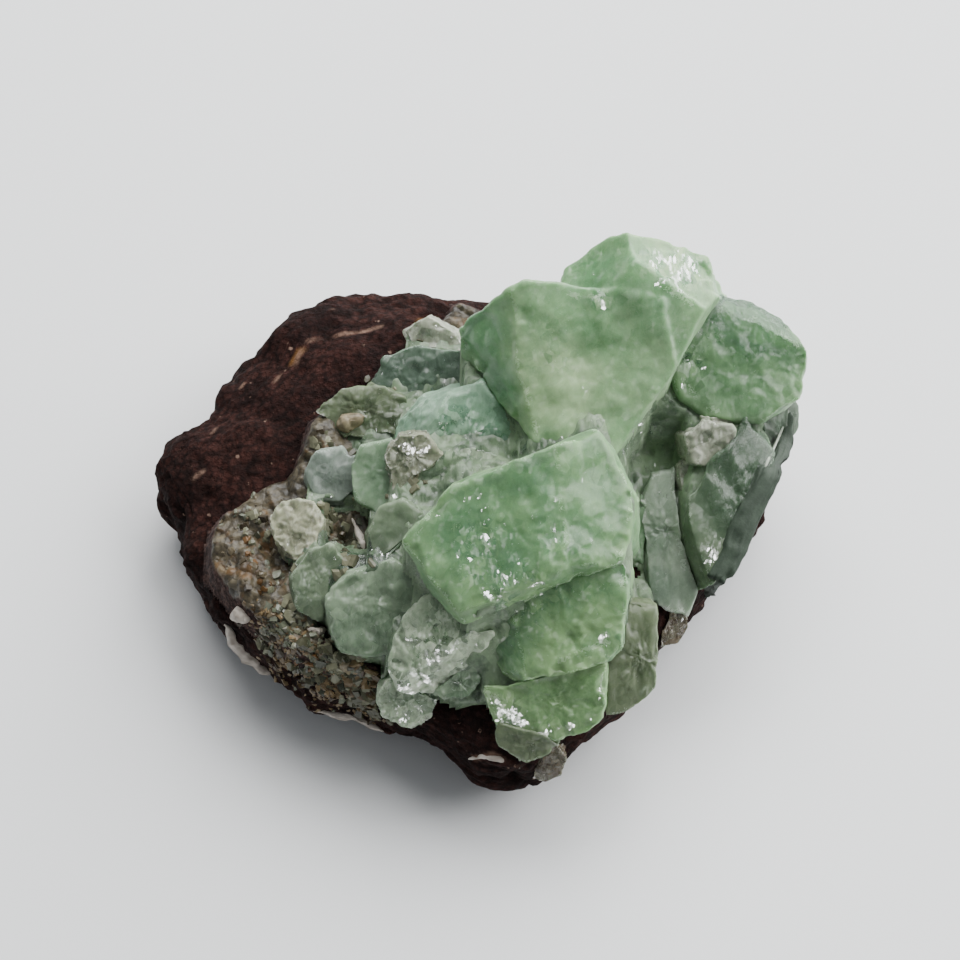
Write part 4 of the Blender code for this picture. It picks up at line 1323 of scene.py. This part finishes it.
# Clusters of blocks: kind, column and row of the frame, spread in mm, number, and least and greatest size.
BLOCK_CLUSTERS = [
    ("brown", 250, 545, 4.0, 40, 0.2, 0.6), ("brown", 330, 570, 3.0, 30, 0.2, 0.6),
    ("brown", 270, 640, 3.0, 40, 0.2, 0.7), ("brown", 320, 690, 3.0, 40, 0.2, 0.7),
    ("brown", 250, 500, 3.0, 20, 0.2, 0.6), ("brown", 380, 710, 2.5, 30, 0.2, 0.7),
    ("brown", 350, 470, 3.0, 20, 0.2, 0.6), ("brown", 430, 330, 2.5, 20, 0.2, 0.5),
    ("grey", 240, 500, 2.0, 20, 0.2, 0.5), ("grey", 300, 570, 3.0, 30, 0.2, 0.6),
    ("grey", 290, 610, 3.0, 40, 0.2, 0.7), ("grey", 330, 650, 4.0, 40, 0.2, 0.6),
    ("grey", 340, 540, 3.0, 25, 0.2, 0.6), ("grey", 420, 320, 2.0, 20, 0.2, 0.5),
    ("golden", 290, 655, 2.2, 150, 0.20, 0.5), ("golden", 330, 685, 2.2, 150, 0.20, 0.5),
    ("golden", 370, 700, 1.8, 120, 0.20, 0.5), ("golden", 265, 620, 1.6, 60, 0.20, 0.5),
    ("mossy", 280, 630, 1.8, 80, 0.20, 0.6), ("mossy", 320, 660, 2.2, 100, 0.20, 0.6),
    ("mossy", 355, 685, 1.8, 80, 0.20, 0.6),
    ("facet", 330, 640, 2.5, 30, 0.35, 1.0), ("facet", 350, 670, 2.5, 40, 0.35, 1.1),
    ("facet", 372, 705, 2.0, 30, 0.35, 1.0), ("facet", 295, 610, 2.5, 25, 0.35, 1.0),
    ("facet", 300, 560, 2.5, 25, 0.35, 0.9), ("facet", 345, 565, 2.5, 25, 0.35, 0.9),
    ("facet", 325, 520, 2.0, 20, 0.30, 0.8), ("facet", 330, 455, 2.5, 25, 0.30, 0.9),
    ("facet", 400, 480, 2.5, 25, 0.30, 0.9), ("facet", 255, 530, 2.0, 15, 0.30, 0.8),
    ("facet", 385, 400, 1.8, 20, 0.30, 0.8), ("facet", 430, 335, 1.5, 15, 0.30, 0.7),
    ("facet", 310, 665, 2.0, 25, 0.30, 0.9), ("facet", 275, 640, 2.0, 15, 0.30, 0.8),
    ("facet", 360, 690, 1.5, 40, 0.40, 1.2), ("facet", 345, 655, 1.5, 30, 0.40, 1.2),
    ("golden", 360, 680, 2.0, 60, 0.30, 0.9),
    ("rust", 250, 555, 1.2, 10, 0.2, 0.5), ("rust", 310, 660, 1.0, 8, 0.2, 0.6),
    ("rust", 365, 690, 1.2, 10, 0.2, 0.6), ("rust", 262, 590, 1.5, 8, 0.2, 0.5),
]


def made_pieces(*names):
    """The crystals and the named pieces that are already made."""
    made = bpy.context.scene.collection.objects
    return [obj for obj in made if obj.name.endswith("_crystal") or obj.name in names]


def make_blocks(kinds):
    """Scatters each cluster's blocks on what the camera sees near its middle, in normal spread."""
    sight = Sight(made_pieces("rock", "druse", "intergrowth"))
    pixels = FRAME * MM / VIEW_WIDTH
    for kind in kinds:
        slot, dark, light, gloss, hosts = BLOCK_KINDS[kind]
        rng = np.random.default_rng(500 + list(BLOCK_KINDS).index(kind))
        places, axes, sizes = [], [], []
        for _, column, row, spread, number, least, greatest in (c for c in BLOCK_CLUSTERS if c[0] == kind):
            offsets = rng.normal(0.0, 0.6 * spread * pixels, (number, 2))
            scales = least + (greatest - least) * rng.uniform(0.0, 1.0, number) ** 2
            for offset, scale in zip(offsets, scales):
                hit = sight.at(column + offset[0], row + offset[1])
                if hit is None or hit[2].name not in hosts:
                    continue
                normal = np.array(hit[1])
                places.append(np.array(hit[0]) - 0.35 * scale * MM * normal)
                axes.append(normal + rng.normal(0.0, 0.35, 3))
                sizes.append(scale * MM * np.array([1.0, rng.uniform(0.6, 1.0), rng.uniform(0.45, 0.8)]))
        points, quads, shade = blocks(np.array(places), np.array(axes), np.array(sizes), 600 + len(places))
        surface = block_finish(kind + "_block", dark, light, gloss)
        piece = mesh_object(kind + "_blocks", points, quads, surface, {"shade": shade}, smooth=False)
        add_piece(piece, slot)


# Ridges that lie along a route of columns and rows: kind, radius in mm.
RIDGES = {
    "calcite_rim": ("calcite", [(226, 624), (233, 638), (243, 651), (256, 663), (268, 676)], 0.80),
    "calcite_knob": ("calcite", [(231, 618), (240, 614), (250, 618)], 0.75),
    "calcite_seam": ("calcite", [(306, 706), (330, 713), (352, 722), (383, 734)], 0.40),
    "calcite_sliver": ("calcite", [(352, 518), (358, 532), (363, 544), (367, 558)], 0.34),
    "calcite_vein": ("calcite", [(468, 759), (482, 756), (500, 759), (520, 768)], 0.26),
    "calcite_crumb": ("calcite", [(305, 628), (318, 632), (326, 630)], 0.45),
    "tan_chip": ("tan", [(337, 427), (350, 422), (363, 417)], 0.80),
    "ochre_chip": ("tan", [(340, 652), (346, 664), (350, 676)], 0.60),
    "right_rim": (
        "shade",
        [(790, 412), (786, 440), (770, 470), (755, 500), (741, 530), (732, 555), (715, 580), (706, 598)],
        1.15,
    ),
    "right_ridge": ("edge", [(789, 410), (780, 434), (769, 458), (756, 486), (743, 513)], 0.14),
}
# The kinds of ridge: record slot, dark and light colours, gloss and height as a share of width.
RIDGE_KINDS = {
    "calcite": ("druse", (0.24, 0.20, 0.16), (0.56, 0.51, 0.45), 0.45, 1.0),
    "tan": ("cream_crystal", (0.10, 0.085, 0.05), (0.30, 0.25, 0.16), 0.25, 1.0),
    "shade": ("grey_green_crystal", (0.014, 0.024, 0.015), (0.036, 0.054, 0.036), 0.65, 0.5),
    "edge": ("pale_crystal", (0.24, 0.28, 0.22), (0.50, 0.55, 0.46), 0.20, 1.0),
}


# The fineness of a ridge's surface, in divisions along a cube's edge.
RIDGE_DIVISIONS = 24


def make_ridges():
    """Ridges: a ball drawn out along a route, with s = (1 + x)/2 along it and y, z across it.

    The cross section's radius is the ridge's own times 1 + noise/2, less towards its ends by the ball.
    """
    sight = Sight(made_pieces("rock", "druse"))
    finishes = {kind: block_finish(kind, *look[1:4]) for kind, look in RIDGE_KINDS.items()}
    sphere, quads = cube_sphere(RIDGE_DIVISIONS)
    for number, (name, (kind, route, radius)) in enumerate(RIDGES.items()):
        places = np.array([sight.inwards(column, row)[0] for column, row in route])
        station = (0.5 + 0.5 * sphere[:, 0]) * (len(places) - 1)
        known = np.arange(len(places))
        middle = np.stack([np.interp(station, known, places[:, k]) for k in range(3)], axis=1)
        along = unit(places[-1] - places[0])
        side = unit(np.cross(along, np.array([0.3, 0.2, 1.0])))
        up = np.cross(side, along)
        radii = radius * MM * (1.0 + 0.4 * rough_noise(middle, max(0.9, 2.5 * radius) * MM, 800 + number))
        tall = RIDGE_KINDS[kind][4]
        points = middle + radii[:, None] * (sphere[:, 1:2] * side + sphere[:, 2:3] * tall * up)
        facets = broken_planes(points, max(0.5, 1.2 * radius) * MM, 820 + number)
        points += 0.3 * radius * MM * facets[:, None] * sphere
        shade = np.clip(0.6 + 0.4 * rough_noise(points, 0.6 * MM, 840 + number), 0.0, 1.0)
        piece = mesh_object(name, points, quads, finishes[kind], {"shade": shade})
        add_piece(piece, RIDGE_KINDS[kind][0])


# ---------------------------------------------------------------------------------------------------------
# Stage


# Each light: the way to it, its distance, width and height in metres, and its power in watts.
LIGHTS = {
    "window": (WINDOW, 0.6, (0.95, 0.8), 15.5),
    "overhead": (Vector((-0.1, 0.8, 1.0)), 0.7, (0.5, 0.5), 5.2),
}

# The room's own light, and half the width of the table top in metres.
ROOM_COLOUR = (0.93, 0.96, 1.0, 1.0)
ROOM_LIGHT = 0.28
TABLE_HALF = 0.6


def area_light(name, direction, distance, size, power):
    """A soft light that hangs in a direction from the specimen and faces it."""
    light = bpy.data.lights.new(name, "AREA")
    light.shape = "RECTANGLE"
    light.size, light.size_y = size
    light.energy = power
    lamp = bpy.data.objects.new(name, light)
    bpy.context.scene.collection.objects.link(lamp)
    away = direction.normalized()
    turn = away.to_track_quat("Z", "Y").to_matrix().to_4x4()
    lamp.matrix_world = Matrix.Translation(away * distance) @ turn


def make_stage(colours):
    """The table top, the room's light, the lights and the camera."""
    shader = Shader("table")
    tone = shader.noise(90 * MM, 2.0)
    colour = shader.mix(tone, colours.table, tuple(0.98 * channel for channel in colours.table))
    normal = shader.bump(shader.noise(1.0 * MM, 3.0), 0.05, 0.1 * MM)
    table = shader.finish(shader.principled(Base_Color=colour, Roughness=0.7, Normal=normal))
    points = TABLE_HALF * np.array([(-1.0, -1.0, 0.0), (1.0, -1.0, 0.0), (1.0, 1.0, 0.0), (-1.0, 1.0, 0.0)])
    floor = mesh_object("table_top", points, [(0, 1, 2, 3)], table, smooth=False)
    world = bpy.data.worlds.new("room")
    world.use_nodes = True
    background = world.node_tree.nodes["Background"]
    background.inputs["Color"].default_value = ROOM_COLOUR
    background.inputs["Strength"].default_value = ROOM_LIGHT
    bpy.context.scene.world = world
    for name, look in LIGHTS.items():
        area_light(name, *look)
    camera = bpy.data.cameras.new("camera")
    camera.sensor_width = SENSOR
    camera.lens = SENSOR * CAMERA_DISTANCE / VIEW_WIDTH
    camera.clip_start = 0.005
    eye = bpy.data.objects.new("camera", camera)
    bpy.context.scene.collection.objects.link(eye)
    turn = Matrix((CAMERA_RIGHT, CAMERA_UP, CAMERA_BACK)).transposed().to_4x4()
    eye.matrix_world = Matrix.Translation(CAMERA_AIM + CAMERA_BACK * CAMERA_DISTANCE) @ turn
    bpy.context.scene.camera = eye


# ---------------------------------------------------------------------------------------------------------
# Add-on


def colour_property(name, description, default):
    return FloatVectorProperty(
        name=name, description=description, default=default, subtype="COLOR", min=0.0, max=1.0,
    )


class SpecimenSizes(bpy.types.PropertyGroup):
    """Sizes that a user may change."""

    skin: FloatProperty(
        name="Skin",
        description="How far grown facets stand out of the packed solid, in mm", default=0.06, min=0.0,
    )
    overlap: FloatProperty(
        name="Overlap",
        description="How far a crystal runs on into its neighbours, in mm", default=0.8, min=0.0,
    )
    wobble: FloatProperty(
        name="Wobble",
        description="How far a crystal strays from flat, as a share of its size", default=0.026,
    )
    rounding: IntProperty(
        name="Rounding",
        description="How many times a crystal's edges are relaxed", default=2, min=0,
    )


class SpecimenColours(bpy.types.PropertyGroup):
    """Colours that a user may change."""

    rock_dark: colour_property("Rock, dark", "Darkest colour of the basalt", (0.014, 0.0052, 0.0043))
    rock_light: colour_property("Rock, light", "Lighter colour of the basalt", (0.042, 0.0160, 0.0125))
    druse_dark: colour_property("Druse, dark", "Darker grains of the druse", (0.030, 0.026, 0.017))
    druse_light: colour_property("Druse, light", "Lighter grains of the druse", (0.086, 0.071, 0.043))
    druse_rust: colour_property("Druse, rusty", "Iron-stained grains of the druse", (0.140, 0.070, 0.020))
    table: colour_property("Table", "Colour of the table top", (0.80, 0.815, 0.82))


class SPECIMEN_OT_stage(bpy.types.Operator):
    """Adds the table top, the lights and the camera"""

    bl_idname = "specimen.stage"
    bl_label = "Stage"

    def execute(self, context):
        make_stage(context.scene.specimen_colours)
        return {"FINISHED"}


class SPECIMEN_OT_rock(bpy.types.Operator):
    """Adds the basalt rock"""

    bl_idname = "specimen.rock"
    bl_label = "Rock"

    def execute(self, context):
        make_rock(context.scene.specimen_colours)
        return {"FINISHED"}


class SPECIMEN_OT_druse(bpy.types.Operator):
    """Adds the crust of druse on the rock"""

    bl_idname = "specimen.druse"
    bl_label = "Druse"

    def execute(self, context):
        make_druse_crust(context.scene.specimen_colours)
        return {"FINISHED"}


class SPECIMEN_OT_crystals(bpy.types.Operator):
    """Adds the crystals, with a cloudy heart in the larger ones"""

    bl_idname = "specimen.crystals"
    bl_label = "Crystals"

    def execute(self, context):
        make_crystals(CRYSTAL_LOOKS, context.scene.specimen_sizes)
        return {"FINISHED"}


class SPECIMEN_OT_intergrowth(bpy.types.Operator):
    """Adds the fine crystal that fills the valleys between the crystals"""

    bl_idname = "specimen.intergrowth"
    bl_label = "Intergrowth"

    def execute(self, context):
        make_intergrowth()
        return {"FINISHED"}


class SPECIMEN_OT_ridges(bpy.types.Operator):
    """Adds the ridges of calcite, the tan chips and the dark rim at the right"""

    bl_idname = "specimen.ridges"
    bl_label = "Ridges"

    def execute(self, context):
        make_ridges()
        return {"FINISHED"}


class SPECIMEN_OT_blocks(bpy.types.Operator):
    """Adds the small blocks of druse and crystal"""

    bl_idname = "specimen.blocks"
    bl_label = "Blocks"

    def execute(self, context):
        make_blocks(BLOCK_KINDS)
        return {"FINISHED"}


STEPS = (
    SPECIMEN_OT_stage, SPECIMEN_OT_rock, SPECIMEN_OT_druse, SPECIMEN_OT_crystals, SPECIMEN_OT_intergrowth,
    SPECIMEN_OT_ridges, SPECIMEN_OT_blocks,
)


class SPECIMEN_PT_panel(bpy.types.Panel):
    """Lists the steps that build the specimen"""

    bl_idname = "SPECIMEN_PT_panel"
    bl_label = "Apophyllite Specimen"
    bl_space_type = "VIEW_3D"
    bl_region_type = "UI"
    bl_category = "Specimen"

    def draw(self, context):
        for group in (context.scene.specimen_sizes, context.scene.specimen_colours):
            for name in group.__annotations__:
                self.layout.prop(group, name)
        for step in STEPS:
            self.layout.operator(step.bl_idname)


CLASSES = (SpecimenSizes, SpecimenColours, *STEPS, SPECIMEN_PT_panel)


def register():
    """Adds the classes, and gives each scene its sizes and colours."""
    for cls in CLASSES:
        bpy.utils.register_class(cls)
    bpy.types.Scene.specimen_sizes = PointerProperty(type=SpecimenSizes)
    bpy.types.Scene.specimen_colours = PointerProperty(type=SpecimenColours)


def unregister():
    """Takes away what register adds."""
    del bpy.types.Scene.specimen_colours
    del bpy.types.Scene.specimen_sizes
    for cls in reversed(CLASSES):
        bpy.utils.unregister_class(cls)


def main():
    """Builds every piece in order."""
    register()
    bpy.ops.specimen.stage()
    bpy.ops.specimen.rock()
    bpy.ops.specimen.druse()
    bpy.ops.specimen.crystals()
    bpy.ops.specimen.intergrowth()
    bpy.ops.specimen.ridges()
    bpy.ops.specimen.blocks()


if __name__ == "__main__":
    main()
